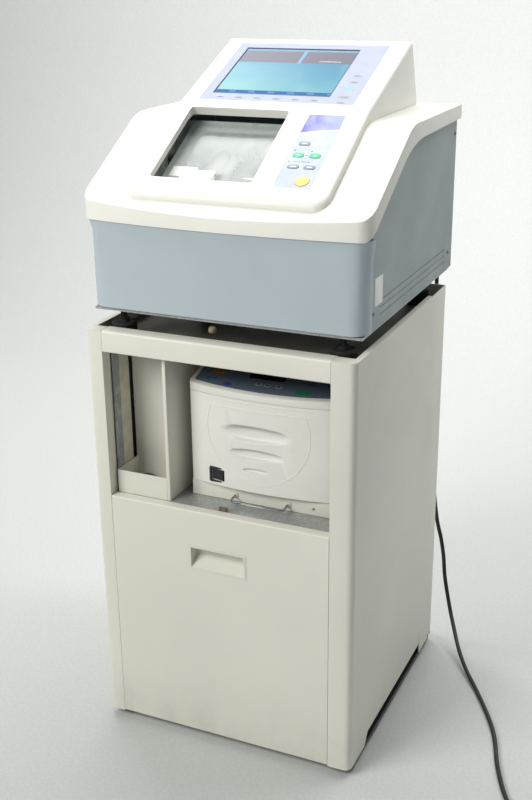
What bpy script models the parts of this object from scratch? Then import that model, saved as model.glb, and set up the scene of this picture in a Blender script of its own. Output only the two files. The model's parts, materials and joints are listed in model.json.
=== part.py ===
"""An automatic lens edger standing on its cabinet, with the frame tracer on its pull-out tray.

Lengths are in metres and +Z is up. Everything is parented to one empty, model_frame. In that frame Y = 0
is the front plane of the cabinet and +Y runs to the back. The empty is placed so that the world's origin
is on the floor, under the middle of the object without its mains cord.
"""
import math
from math import cos, pi, radians, sin, sqrt, tan

import bmesh
import bpy
from mathutils import Matrix, Vector

OBJECT_NAME = "lens_edger"

# Cabinet
CABINET_W = 0.480
CABINET_D = 0.485
CABINET_H = 0.7635
SHEET = 0.002
GAP = 0.0003
LEFT_COLUMN_W = 0.0305
RIGHT_COLUMN_W = 0.0415
COLUMN_CORNER_R = 0.012
RETURN_Y = 0.024
PANEL_BOTTOM_Z = 0.015
TOE_CUT_Z = 0.037
BACK_SEAM_Y = 0.403
RAIL_BOTTOM_Z = 0.7262
EDGE_R = 0.004
TOP_FLANGE_W = 0.010
TOP_PLATE_Z = 0.7373
GLIDE_X = 0.206
GLIDE_Y = (0.043, 0.451)
GLIDE_R = 0.018

# Bay above the drawer
BAY_FLOOR_Z = 0.4625
BAY_X = (-0.2075, 0.1972)
BAY_FRONT_Y = 0.0185
BAY_TOP_Z = 0.7345
DIVIDER_X = -0.1046
DIVIDER_T = 0.0065
BIN_LEFT_X = -0.2050
BIN_BACK_Y = 0.0880
BIN_LIP_Z = 0.5045
POST_Y = (0.0245, 0.0450, 0.0770)
JIG_XY = (-0.170, 0.058)

# Drawer and its pull
DRAWER_LEFT_X = -0.2088
DRAWER_RIGHT_X = 0.1977
DRAWER_BOTTOM_Z = 0.0165
DRAWER_TOP_Z = 0.4625
DRAWER_FRONT_D = 0.018
DRAWER_EDGE_R = 0.0035
TRAY_X = (-0.1960, 0.1868)
SLIDE_OFF = (0.0085, 0.0115)
TRAY_BACK_Y = 0.460
TRAY_WALL_Z = (0.030, 0.125)
TANK_HALF_W = 0.150
TANK_Y = (0.060, 0.380)
TANK_Z = (0.032, 0.330)
TANK_WALL = 0.003
PUMP_XY = (0.085, 0.300)
PULL_W = 0.108
PULL_H = 0.046
PULL_RIM = 0.004
PULL_Z = 0.3735
PULL_DEPTH = 0.023
RIM_PROUD = 0.0008

# Frame tracer in the bay
TRACER_LEFT_X = -0.0820
TRACER_RIGHT_X = 0.1830
TRACER_MID_X = (TRACER_LEFT_X + TRACER_RIGHT_X) / 2
TRACER_HALF_W = (TRACER_RIGHT_X - TRACER_LEFT_X) / 2
TRACER_FRONT_Y = 0.062
TRACER_BACK_Y = 0.362
TRACER_BOW = 0.014
TRACER_CORNER_R = 0.010
TRACER_WALL = 0.003
TRACER_FRONT_WALL = 0.0065
TRAY_TOP_Z = 0.4922
TRACER_SEAM_Z = 0.6567
TRACER_TOP_Z = 0.6720
TRACER_SLOPE = radians(15)
SHELF_Y = 0.200
WELL_HALF_W = 0.095
WELL_Y = (0.162, 0.342)
CLAMP_Z = (0.672, 0.702)
# Finger scoops down the tracer's front: middle x, middle z, half width, half height
SCOOPS = (
    (0.0454, 0.5982, 0.0700, 0.0160),
    (0.0477, 0.5612, 0.0520, 0.0110),
    (0.0480, 0.5326, 0.0265, 0.0048),
)
TABLE_Y = 0.252
TABLE_Z = 0.632
KEYPAD_S = (-0.005, 0.090)
KEYPAD_BOW = 0.0125
KEYPAD_EDGE = 0.008
ROCKER_X = -0.0255
ROCKER_Z = 0.5120
ROCKER_HALF_W = 0.0118
ROCKER_HALF_H = 0.0098
ROCKER_THROW = radians(15)
HANDLE_X = (0.002, 0.100)
HANDLE_Z = 0.475
HANDLE_REACH = 0.022
HANDLE_WIRE_R = 0.0022

# Edger: base and outside
MACHINE_HALF_W = 0.242
COVER_HALF_W = 0.249
BASE_Z = 0.790
SKIRT_BOTTOM_Z = BASE_Z + 0.006
SKIRT_Y = 0.027
SKIRT_D = 0.034
FLARE_H = 0.090
FLARE_LEAN = 0.36
COVER_FRONT_Y = 0.008
MACHINE_BACK_Y = 0.502
BOW = 0.018
CORNER_R = 0.028
WALL = 0.003
SEAM_FRONT_Z = 0.943
SEAM_BACK_Z = 1.066
GLAND_X = 0.190
GLAND_Z = 0.850
GLAND_LENGTH = 0.030
HOSE_X = -0.125
HOSE_Y = 0.220
HOSE_HOLE_R = 0.014

# Edger: sloping top, console and its panels
SLOPE = radians(30.5)
COVER_Y0 = 0.0538
COVER_Z0 = 0.992
STEP_Z = 0.0116
WING_Z = 1.090
DISPLAY_SLOPE = radians(23.5)
BEND_Y = 0.228
CONSOLE_FRONT_Y = 0.0345
CONSOLE_HALF_W = 0.174
CONSOLE_WALL = 0.004
CONSOLE_CORNER_R = 0.026
CONSOLE_BACK_LEAN = radians(19)
PLAN_MARGIN = 0.0006
DISPLAY_TOP_S = 0.236
DISPLAY_X = (-0.1410, 0.1390)
DISPLAY_S = (0.0170, 0.2150)
SCREEN_X = (-0.1225, 0.0895)
SCREEN_S = (0.0405, 0.1975)
STRIP_X = (0.0750, 0.1375)
STRIP_S = (0.0115, 0.1885)
WINDOW_LEFT_X = -0.142
WINDOW_RIGHT_X = 0.038
WINDOW_S = (0.0159, 0.1952)
TUNNEL_DEPTH = 0.030

# Grinding chamber, wheel and lens carriage
TUB_X = (-0.170, 0.055)
TUB_BOTTOM_Z = 0.840
TUB_WALL = 0.0025
SPINDLE_YZ = (0.165, 0.915)
SPINDLE_R = 0.008
MOTOR_R = 0.038
LENS_YZ = (0.200, 0.990)
LENS_SHAFT_R = 0.009
LENS_PAD_R = 0.013
LEFT_PAD_X = -0.056
LEFT_SHAFT_L = 0.160
RIGHT_PAD_X = -0.042
RIGHT_SHAFT_L = 0.140
QUILL_R = 0.0125
CARRIAGE_PIVOT_YZ = (0.330, 0.960)

# Mains cord
CORD_D = 0.008
COIL_ROWS = 2
COIL_R = 0.044
COIL_OUTER_R = COIL_R + CORD_D
COIL_INNER_R = COIL_R - CORD_D
CORD_POINT_STEP = 0.021
FLOOR_GAP = 0.0005
PLUG_W = 0.036
PLUG_H = 0.026
PLUG_L = 0.046
PLUG_BOOT_L = 0.012

# Looks: base colour, roughness, metallic
CREAM_PAINT = ((0.78, 0.77, 0.68), 0.45, 0.0)
WHITE_PLASTIC = ((0.90, 0.89, 0.84), 0.40, 0.0)
BLUE_GREY = ((0.38, 0.44, 0.50), 0.45, 0.0)
SIDE_GREY = ((0.33, 0.37, 0.40), 0.50, 0.0)
ZINC = ((0.60, 0.62, 0.63), 0.40, 0.9)
STEEL = ((0.65, 0.65, 0.66), 0.30, 1.0)
CHROME = ((0.80, 0.80, 0.81), 0.12, 1.0)
BLACK_RUBBER = ((0.03, 0.03, 0.03), 0.80, 0.0)
BLACK_PLASTIC = ((0.04, 0.04, 0.04), 0.45, 0.0)
DARK_PANEL = ((0.12, 0.15, 0.20), 0.35, 0.0)
PALE_PANEL = ((0.68, 0.75, 0.81), 0.35, 0.0)
SCREEN = ((0.25, 0.42, 0.50), 0.10, 0.0)
CLEAR = ((0.80, 0.84, 0.84), 0.08, 0.0)
KEY_GREY = ((0.40, 0.44, 0.50), 0.45, 0.0)
KEY_GREEN = ((0.20, 0.65, 0.42), 0.45, 0.0)
KEY_YELLOW = ((0.95, 0.80, 0.30), 0.45, 0.0)
MOTOR_GREY = ((0.20, 0.21, 0.22), 0.50, 0.3)
ABRASIVE = ((0.35, 0.33, 0.30), 0.85, 0.0)
TANK_WHITE = ((0.80, 0.82, 0.82), 0.50, 0.0)
HOSE_GREY = ((0.50, 0.50, 0.48), 0.60, 0.0)

# Keys on the control strip: name, x, place up the slope, half width, half length, look
STRIP_KEYS = (
    ("mode_key", 0.0920, 0.1156, 0.0095, 0.0042, KEY_GREY),
    ("left_start_key", 0.0912, 0.0876, 0.0092, 0.0052, KEY_GREEN),
    ("right_start_key", 0.1194, 0.0876, 0.0092, 0.0052, KEY_GREEN),
    ("left_select_key", 0.0925, 0.0600, 0.0095, 0.0042, KEY_GREY),
    ("right_select_key", 0.1195, 0.0600, 0.0095, 0.0042, KEY_GREY),
    ("stop_key", 0.1192, 0.0276, 0.0112, 0.0112, KEY_YELLOW),
)

for old in list(bpy.data.objects):
    bpy.data.objects.remove(old, do_unlink=True)

parts = bpy.data.collections.new(OBJECT_NAME)
cutters = bpy.data.collections.new("cutters")
bpy.context.scene.collection.children.link(parts)
bpy.context.scene.collection.children.link(cutters)

model_frame = bpy.data.objects.new("model_frame", None)
model_frame.location = (0, -(MACHINE_BACK_Y - RIM_PROUD) / 2, 0)
parts.objects.link(model_frame)


# ---------------------------------------------------------------- making and joining shapes

def add_part(obj, look):
    """Put an object among the parts, with a material of its own."""
    colour, roughness, metallic = look
    material = bpy.data.materials.new(obj.name)
    material.use_nodes = True
    shader = material.node_tree.nodes["Principled BSDF"]
    shader.inputs["Base Color"].default_value = (*colour, 1)
    shader.inputs["Roughness"].default_value = roughness
    shader.inputs["Metallic"].default_value = metallic
    obj.data.materials.clear()
    obj.data.materials.append(material)
    parts.objects.link(obj)
    obj.parent = model_frame
    return obj


def add_cutter(obj):
    """Put an object among the shapes that only cut or join others."""
    cutters.objects.link(obj)
    obj.parent = model_frame
    obj.hide_render = True
    obj.display_type = "WIRE"
    return obj


def placed(obj, look):
    return add_part(obj, look) if look else add_cutter(obj)


def boolean(target, other, operation="DIFFERENCE"):
    step = target.modifiers.new(other.name, "BOOLEAN")
    step.operation = operation
    step.solver = "EXACT"
    step.object = other


def bevel(obj, width, segments=2, angle=40):
    step = obj.modifiers.new("rounded_edges", "BEVEL")
    step.width = width
    step.segments = segments
    step.limit_method = "ANGLE"
    step.angle_limit = radians(angle)


def smooth(obj, angle=40):
    obj.data.shade_smooth()
    obj.data.set_sharp_from_angle(angle=radians(angle))


def box(name, low, high, look=None, round_r=0.0, segments=2):
    """A box between two corners, with its origin at its middle."""
    low, high = Vector(low), Vector(high)
    bm = bmesh.new()
    bmesh.ops.create_cube(bm, size=1.0)
    bmesh.ops.scale(bm, vec=high - low, verts=bm.verts)
    mesh = bpy.data.meshes.new(name)
    bm.to_mesh(mesh)
    bm.free()
    obj = bpy.data.objects.new(name, mesh)
    obj.location = (low + high) / 2
    if round_r:
        bevel(obj, round_r, segments)
    return placed(obj, look)


AXIS_TURN = {"X": (0, pi / 2, 0), "Y": (-pi / 2, 0, 0), "Z": (0, 0, 0)}


def cylinder(name, radius, start, length, axis, look=None, sides=32):
    """A round bar from start along an axis, with its origin at start."""
    bm = bmesh.new()
    bmesh.ops.create_cone(bm, cap_ends=True, segments=sides, radius1=radius, radius2=radius, depth=length)
    bmesh.ops.translate(bm, vec=(0, 0, length / 2), verts=bm.verts)
    mesh = bpy.data.meshes.new(name)
    bm.to_mesh(mesh)
    bm.free()
    obj = bpy.data.objects.new(name, mesh)
    obj.location = start
    obj.rotation_euler = AXIS_TURN[axis]
    smooth(obj)
    return placed(obj, look)


def turned(name, profile, origin, axis, look=None, sides=40):
    """A shape turned about an axis from (radius, height) pairs, listed from the top down the outer side."""
    bm = bmesh.new()
    ring = [bm.verts.new((radius, 0, height)) for radius, height in profile]
    for a, b in zip(ring, ring[1:] + ring[:1]):
        if max(a.co.x, b.co.x) > 0:
            bm.edges.new((a, b))
    mesh = bpy.data.meshes.new(name)
    bm.to_mesh(mesh)
    bm.free()
    obj = bpy.data.objects.new(name, mesh)
    screw = obj.modifiers.new("turn", "SCREW")
    screw.steps = sides
    screw.render_steps = sides
    screw.use_merge_vertices = True
    screw.merge_threshold = 0.00005
    screw.use_smooth_shade = True
    obj.location = origin
    obj.rotation_euler = AXIS_TURN[axis]
    return placed(obj, look)


def rounded(corners, segments=4):
    """An outline from (x, y, radius) corners, with each radius as an arc."""
    outline = []
    for i, (x, y, radius) in enumerate(corners):
        here = Vector((x, y))
        if not radius:
            outline.append(here)
            continue
        back = (Vector(corners[i - 1][:2]) - here).normalized()
        ahead = (Vector(corners[(i + 1) % len(corners)][:2]) - here).normalized()
        half = back.angle(ahead) / 2
        centre = here + (back + ahead).normalized() * (radius / sin(half))
        first = here + back * (radius / tan(half)) - centre
        last = here + ahead * (radius / tan(half)) - centre
        start = math.atan2(first.y, first.x)
        sweep = (math.atan2(last.y, last.x) - start + pi) % (2 * pi) - pi
        for k in range(segments + 1):
            angle = start + sweep * k / segments
            outline.append(centre + radius * Vector((cos(angle), sin(angle))))
    return outline


def rectangle(x0, y0, x1, y1, corner_r, segments=3):
    return rounded([(x0, y0, corner_r), (x1, y0, corner_r), (x1, y1, corner_r), (x0, y1, corner_r)], segments)


def sheet_outline(path, thickness=SHEET):
    """The closed outline of a bent sheet. The path is its outer face, and the metal is on the path's left."""
    path = [Vector(p[:2]) for p in path]
    inner = []
    for i, here in enumerate(path):
        sides = []
        for a, b in ((i - 1, i), (i, i + 1)):
            if 0 <= a and b < len(path):
                along = (path[b] - path[a]).normalized()
                sides.append(Vector((-along.y, along.x)))
        normal = (sides[0] + sides[-1]).normalized()
        inner.append(here + normal * (thickness / normal.dot(sides[0])))
    return path + inner[::-1]


PLANE_TURN = {"XY": (0, 0, 0), "YZ": (pi / 2, 0, pi / 2), "XZ": (pi / 2, 0, 0)}


def extruded(name, outline, low, high, plane="XY", look=None):
    """A flat outline in a plane, filled and carried from low to high along the third axis."""
    curve = bpy.data.curves.new(name, "CURVE")
    curve.dimensions = "2D"
    curve.fill_mode = "BOTH"
    curve.extrude = (high - low) / 2
    spline = curve.splines.new("POLY")
    spline.points.add(len(outline) - 1)
    for point, xy in zip(spline.points, outline):
        point.co = (xy[0], xy[1], 0, 1)
    spline.use_cyclic_u = True
    middle = (low + high) / 2
    place = {"XY": (0, 0, middle), "YZ": (middle, 0, 0), "XZ": (0, middle, 0)}[plane]
    return mesh_of_curve(name, curve, place, PLANE_TURN[plane], look)


def mesh_of_curve(name, curve, place=(0, 0, 0), turn=(0, 0, 0), look=None):
    """A mesh object with a curve's shape, its caps welded on."""
    guide = bpy.data.objects.new(name + "_guide", curve)
    bpy.context.scene.collection.objects.link(guide)
    seen = guide.evaluated_get(bpy.context.evaluated_depsgraph_get())
    mesh = bpy.data.meshes.new_from_object(seen)
    bpy.data.objects.remove(guide)
    bm = bmesh.new()
    bm.from_mesh(mesh)
    bmesh.ops.remove_doubles(bm, verts=bm.verts, dist=0.00001)
    bmesh.ops.recalc_face_normals(bm, faces=bm.faces)
    bm.to_mesh(mesh)
    bm.free()
    mesh.name = name
    obj = bpy.data.objects.new(name, mesh)
    obj.location = place
    obj.rotation_euler = turn
    return placed(obj, look)


def wire(name, points, radius, look=None, sides=2):
    """A round wire through a list of points."""
    curve = bpy.data.curves.new(name, "CURVE")
    curve.dimensions = "3D"
    curve.bevel_depth = radius
    curve.bevel_resolution = sides
    curve.use_fill_caps = True
    spline = curve.splines.new("POLY")
    spline.points.add(len(points) - 1)
    for point, xyz in zip(spline.points, points):
        point.co = (*xyz, 1)
    return mesh_of_curve(name, curve, look=look)


def arc(centre, radius, start, end, steps):
    """Points on a circle's arc, angles in degrees."""
    turns = [radians(start + (end - start) * k / steps) for k in range(steps + 1)]
    return [(centre[0] + radius * cos(a), centre[1] + radius * sin(a)) for a in turns]


def mirrored(outline):
    return [(-x, y) for x, y in outline][::-1]


# ---------------------------------------------------------------- the sloping front

ALONG = Vector((0, cos(SLOPE), sin(SLOPE)))
OUT = Vector((0, -sin(SLOPE), cos(SLOPE)))
CONSOLE_ORIGIN = Vector((0, COVER_Y0, COVER_Z0 + STEP_Z))
BEND_Z = CONSOLE_ORIGIN.z + (BEND_Y - COVER_Y0) * tan(SLOPE)
DISPLAY_ORIGIN = Vector((0, BEND_Y, BEND_Z))


def on_slope(x, s, h):
    """A point x across, s up the console's slope and h out from it."""
    return CONSOLE_ORIGIN + Vector((x, 0, 0)) + ALONG * s + OUT * h


def tilt(obj, origin, angle):
    """Stand a shape made flat in X and Y on a slope that faces the front."""
    obj.location = origin
    obj.rotation_euler = (angle, 0, 0)
    return obj


def slab(name, x_range, s_range, h_range, look=None, corner_r=0.0, origin=CONSOLE_ORIGIN, angle=SLOPE):
    """A flat piece on a slope, with round corners, given across, up and out of the slope."""
    (x0, x1), (s0, s1), (h0, h1) = x_range, s_range, h_range
    middle = Vector(((x0 + x1) / 2, (s0 + s1) / 2, (h0 + h1) / 2))
    half_w, half_l = (x1 - x0) / 2, (s1 - s0) / 2
    corners = [(-half_w, -half_l), (half_w, -half_l), (half_w, half_l), (-half_w, half_l)]
    outline = rounded([(x, y, corner_r) for x, y in corners], 3)
    obj = extruded(name, outline, -(h1 - h0) / 2, (h1 - h0) / 2, "XY", look)
    up = Vector((0, cos(angle), sin(angle)))
    out = Vector((0, -sin(angle), cos(angle)))
    place = Vector(origin) + Vector((middle.x, 0, 0)) + up * middle.y + out * middle.z
    return tilt(obj, place, angle)


# ---------------------------------------------------------------- cabinet

def side_plan(column_w):
    """The left side panel from above: the front column's inner return, its face, and the side."""
    left = -CABINET_W / 2
    inner = left + column_w
    corners = [(inner, RETURN_Y, 0), (inner, 0, 0), (left, 0, COLUMN_CORNER_R), (left, BACK_SEAM_Y - GAP, 0)]
    return rounded(corners, 5)


def cabinet_sides():
    left = -CABINET_W / 2
    sides = (("cabinet_left_side", 1, LEFT_COLUMN_W), ("cabinet_right_side", -1, RIGHT_COLUMN_W))
    for name, side, column_w in sides:
        wall = sheet_outline(side_plan(column_w), -SHEET)
        flange = side_plan(column_w) + [(left + TOP_FLANGE_W, BACK_SEAM_Y - GAP), (left + TOP_FLANGE_W, RETURN_Y)]
        if side < 0:
            wall, flange = mirrored(wall), mirrored(flange)
        panel = extruded(name, wall, PANEL_BOTTOM_Z, CABINET_H - SHEET / 2, "XY", CREAM_PAINT)
        top = extruded(name + "_top", flange, CABINET_H - SHEET, CABINET_H, "XY")
        boolean(panel, top, "UNION")
        toe = [(0.077, PANEL_BOTTOM_Z - 0.01), (0.077, PANEL_BOTTOM_Z), (0.092, TOE_CUT_Z),
               (0.413, TOE_CUT_Z), (0.413, PANEL_BOTTOM_Z - 0.01)]
        edge = side * left
        toe_cut = extruded(name + "_toe", toe, min(edge, edge * 0.9), max(edge, edge * 0.9), "YZ")
        toe_cut.scale.z = 1.2
        boolean(panel, toe_cut)


def cabinet_back_panel():
    half = CABINET_W / 2
    path = rounded([(half, BACK_SEAM_Y, 0), (half, CABINET_D, 0.004), (-half, CABINET_D, 0.004),
                    (-half, BACK_SEAM_Y, 0)], 2)
    panel = extruded("cabinet_back_panel", sheet_outline(path), PANEL_BOTTOM_Z, CABINET_H, "XY",
                     CREAM_PAINT)
    for x in (-half, half):
        notch = box("back_notch", (x - 0.01, 0.459, 0), (x + 0.01, 0.477, 0.024))
        boolean(panel, notch)


def cabinet_front_rail():
    profile = rounded([(0.018, RAIL_BOTTOM_Z, 0), (0, RAIL_BOTTOM_Z, 0.002), (0, CABINET_H, EDGE_R),
                       (0.029, CABINET_H, 0.002), (0.029, RAIL_BOTTOM_Z + 0.010, 0)], 4)
    left, right = LEFT_COLUMN_W + 0.0005 - CABINET_W / 2, CABINET_W / 2 - RIGHT_COLUMN_W - 0.0005
    extruded("cabinet_front_rail", sheet_outline(profile, -SHEET), left, right, "YZ", CREAM_PAINT)


def cabinet_top_plate():
    half = CABINET_W / 2 - SHEET - 0.001
    plate = box("cabinet_top_plate", (-half, 0.0295, TOP_PLATE_Z - SHEET),
                (half, CABINET_D - SHEET - 0.002, TOP_PLATE_Z), CREAM_PAINT)
    hole_foot = (HOSE_X, HOSE_Y, TOP_PLATE_Z - 0.015)
    boolean(plate, cylinder("plate_hose_hole", HOSE_HOLE_R, hole_foot, 0.03, "Z", sides=24))


def cabinet_base():
    """The black bottom frame with its four glides."""
    half = CABINET_W / 2 - SHEET - GAP
    frame = box("cabinet_base", (-half, 0.020, 0.006), (half, 0.475, 0.0148), BLACK_PLASTIC)
    boolean(frame, box("base_opening", (-0.185, 0.060, 0), (0.185, 0.432, 0.03)))
    for x in (-GLIDE_X, GLIDE_X):
        for y in GLIDE_Y:
            boolean(frame, cylinder("glide", GLIDE_R, (x, y, 0), 0.010, "Z", sides=24), "UNION")


def bay():
    """The galvanised bay floor, the divider, the open bin for small parts and the post on the left wall."""
    floor = box("bay_floor", (BAY_X[0], BAY_FRONT_Y, BAY_FLOOR_Z - SHEET), (BAY_X[1], 0.400, BAY_FLOOR_Z),
                ZINC)
    boolean(floor, cylinder("floor_hose_hole", HOSE_HOLE_R, (HOSE_X, HOSE_Y, 0.45), 0.03, "Z", sides=24))
    left, right = DIVIDER_X - DIVIDER_T / 2, DIVIDER_X + DIVIDER_T / 2
    box("bay_divider", (left, BAY_FRONT_Y, BAY_FLOOR_Z + GAP), (right, 0.395, BAY_TOP_Z), CREAM_PAINT, 0.0012)
    # the bin is a folded sheet: a floor, low lips in front and at the left, and a tall back
    bin_sheet = 0.0015
    bin_right = left - GAP
    bin_box = box("accessory_bin", (BIN_LEFT_X, BAY_FRONT_Y + 0.0005, BAY_FLOOR_Z + GAP),
                  (bin_right, BIN_BACK_Y, RAIL_BOTTOM_Z), CREAM_PAINT)
    boolean(bin_box, box("bin_inside", (BIN_LEFT_X + bin_sheet, BAY_FRONT_Y + 0.0005 + bin_sheet,
                                        BAY_FLOOR_Z + GAP + bin_sheet),
                         (bin_right - bin_sheet, BIN_BACK_Y - bin_sheet, 0.800)))
    boolean(bin_box, box("bin_front_cut", (BIN_LEFT_X - 0.01, 0.010, BIN_LIP_Z),
                         (left + 0.01, BIN_BACK_Y - bin_sheet, 0.800)))
    # the post is a plate with its front strip standing proud
    wall_x = BAY_X[0]
    plan = [(wall_x, POST_Y[0]), (wall_x + 0.0018, POST_Y[0]), (wall_x + 0.0018, POST_Y[1]),
            (wall_x + 0.0010, POST_Y[1]), (wall_x + 0.0010, POST_Y[2]), (wall_x, POST_Y[2])]
    extruded("frame_post_left", plan, BAY_FLOOR_Z + GAP, BAY_TOP_Z, "XY", ZINC)


def accessory_jig():
    """A loose lens-blocking jig that lies in the bin: a round knob on a bent chrome strap."""
    x, y = JIG_XY
    floor_z = BAY_FLOOR_Z + GAP + 0.0015 + GAP
    knob = [(0, 0.0175), (0.0110, 0.0170), (0.0165, 0.0140), (0.0175, 0.0100), (0.0175, 0), (0, 0)]
    jig = turned("accessory_jig", knob, (x, y, floor_z + 0.0010), "Z", BLACK_PLASTIC, 28)
    strap = [(0, 0), (0.0620, 0), (0.0620, 0.0210), (0.0605, 0.0210), (0.0605, 0.0015), (0, 0.0015)]
    strap_solid = extruded("jig_strap", strap, -0.0075, 0.0075, "XZ")
    strap_solid.location = (x - 0.010, y - 0.004, floor_z)
    boolean(jig, strap_solid, "UNION")


def drawer_slides():
    """The fixed channels that the drawer's tray runs in."""
    for name, side, edge_x in (("drawer_slide_left", -1, TRAY_X[0]), ("drawer_slide_right", 1, TRAY_X[1])):
        near, far = SLIDE_OFF
        path = [(near, 0.0900), (far, 0.0900), (far, 0.1270), (near, 0.1270)]
        profile = [(edge_x + side * x, z) for x, z in sheet_outline(path, 0.0012)]
        extruded(name, profile if side > 0 else profile[::-1], 0.030, 0.460, "XZ", STEEL)


# ---------------------------------------------------------------- drawer

def drawer():
    middle_x = (DRAWER_LEFT_X + DRAWER_RIGHT_X) / 2
    path = rounded([(DRAWER_FRONT_D, DRAWER_BOTTOM_Z, 0), (0, DRAWER_BOTTOM_Z, 0.002),
                    (0, DRAWER_TOP_Z, DRAWER_EDGE_R), (DRAWER_FRONT_D - GAP, DRAWER_TOP_Z, 0),
                    (DRAWER_FRONT_D - GAP, DRAWER_TOP_Z - 0.016, 0)], 4)
    front = extruded("drawer_front", sheet_outline(path, -SHEET), DRAWER_LEFT_X, DRAWER_RIGHT_X, "YZ",
                     CREAM_PAINT)
    cup_w = PULL_W / 2 - PULL_RIM + 0.0015
    cup_h = PULL_H / 2 - PULL_RIM + 0.0015
    hole_w, hole_h = cup_w + GAP, cup_h + GAP
    boolean(front, box("pull_hole", (middle_x - hole_w, -0.01, PULL_Z - hole_h),
                       (middle_x + hole_w, 0.01, PULL_Z + hole_h)))

    rim_y = -GAP - RIM_PROUD
    pull = box("drawer_pull", (middle_x - PULL_W / 2, -RIM_PROUD, PULL_Z - PULL_H / 2),
               (middle_x + PULL_W / 2, -GAP, PULL_Z + PULL_H / 2), CREAM_PAINT)
    cup = [(-RIM_PROUD / 2, PULL_Z - cup_h), (PULL_DEPTH, PULL_Z - 0.003), (PULL_DEPTH, PULL_Z + cup_h),
           (-RIM_PROUD / 2, PULL_Z + cup_h)]
    boolean(pull, extruded("pull_cup", cup, middle_x - cup_w, middle_x + cup_w, "YZ"), "UNION")
    skin = 0.0015
    inside = [(rim_y, PULL_Z - cup_h + skin), (PULL_DEPTH - skin, PULL_Z - 0.003 + skin),
              (PULL_DEPTH - skin, PULL_Z + cup_h - skin), (rim_y, PULL_Z + cup_h - skin)]
    boolean(pull, extruded("pull_inside", inside, middle_x - cup_w + skin, middle_x + cup_w - skin, "YZ"))

    sheet = 0.0015
    low_z, high_z = TRAY_WALL_Z
    tray_left, tray_right = TRAY_X
    tray = box("drawer_tray", (tray_left, DRAWER_FRONT_D, low_z), (tray_right, TRAY_BACK_Y, high_z), STEEL)
    boolean(tray, box("tray_inside", (tray_left + sheet, DRAWER_FRONT_D + SHEET, low_z + sheet),
                      (tray_right - sheet, TRAY_BACK_Y - sheet, 0.2)))
    for x in (tray_left - 0.004, tray_right + 0.004):
        runner = box("tray_runner", (x - 0.0055, 0.0300, 0.0925), (x + 0.0055, 0.4550, 0.1245))
        boolean(tray, runner, "UNION")

    (y0, y1), (z0, z1) = TANK_Y, TANK_Z
    tank = extruded("coolant_tank", rectangle(-TANK_HALF_W, y0, TANK_HALF_W, y1, 0.016), z0, z1, "XY",
                    TANK_WHITE)
    half = TANK_HALF_W - TANK_WALL
    boolean(tank, extruded("tank_inside", rectangle(-half, y0 + TANK_WALL, half, y1 - TANK_WALL, 0.013),
                           z0 + TANK_WALL, z1 + 0.1))
    # the pump hangs on the tank's rim by its bracket
    x, y = PUMP_XY
    pump = cylinder("coolant_pump", 0.034, (x, y, z0 + 0.008), z1 - z0 - 0.002, "Z", MOTOR_GREY, sides=32)
    boolean(pump, box("pump_bracket", (x - 0.040, y - 0.038, z1 + GAP),
                      (TANK_HALF_W - 0.001, y + 0.038, z1 + GAP + 0.004)), "UNION")
    boolean(pump, cylinder("pump_motor", 0.042, (x, y, z1 + 0.004), 0.070, "Z", sides=32), "UNION")


# ---------------------------------------------------------------- frame tracer

def bowed_plan(half_w, front_y, back_y, bow, corner_r, steps=12, middle_x=0.0):
    """A plan with a bowed front and round corners; front_y is at the bow's middle."""
    radius = (half_w ** 2 + bow ** 2) / (2 * bow)
    inner_w = half_w - corner_r * 0.75
    front = []
    for k in range(steps + 1):
        x = -inner_w + 2 * inner_w * k / steps
        front.append((x, front_y + radius - sqrt(radius ** 2 - x ** 2)))
    edge_y = front[-1][1]
    corner = []
    for k in range(1, 5):
        turn = radians(90 * k / 4)
        corner.append((inner_w + (half_w - inner_w) * sin(turn), edge_y + corner_r * (1 - cos(turn))))
    right = corner + [(half_w, back_y)]
    left = [(-x, y) for x, y in right][::-1]
    return [(x + middle_x, y) for x, y in left + front + right]


def bow_radius(half_w, bow):
    return (half_w ** 2 + bow ** 2) / (2 * bow)


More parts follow.
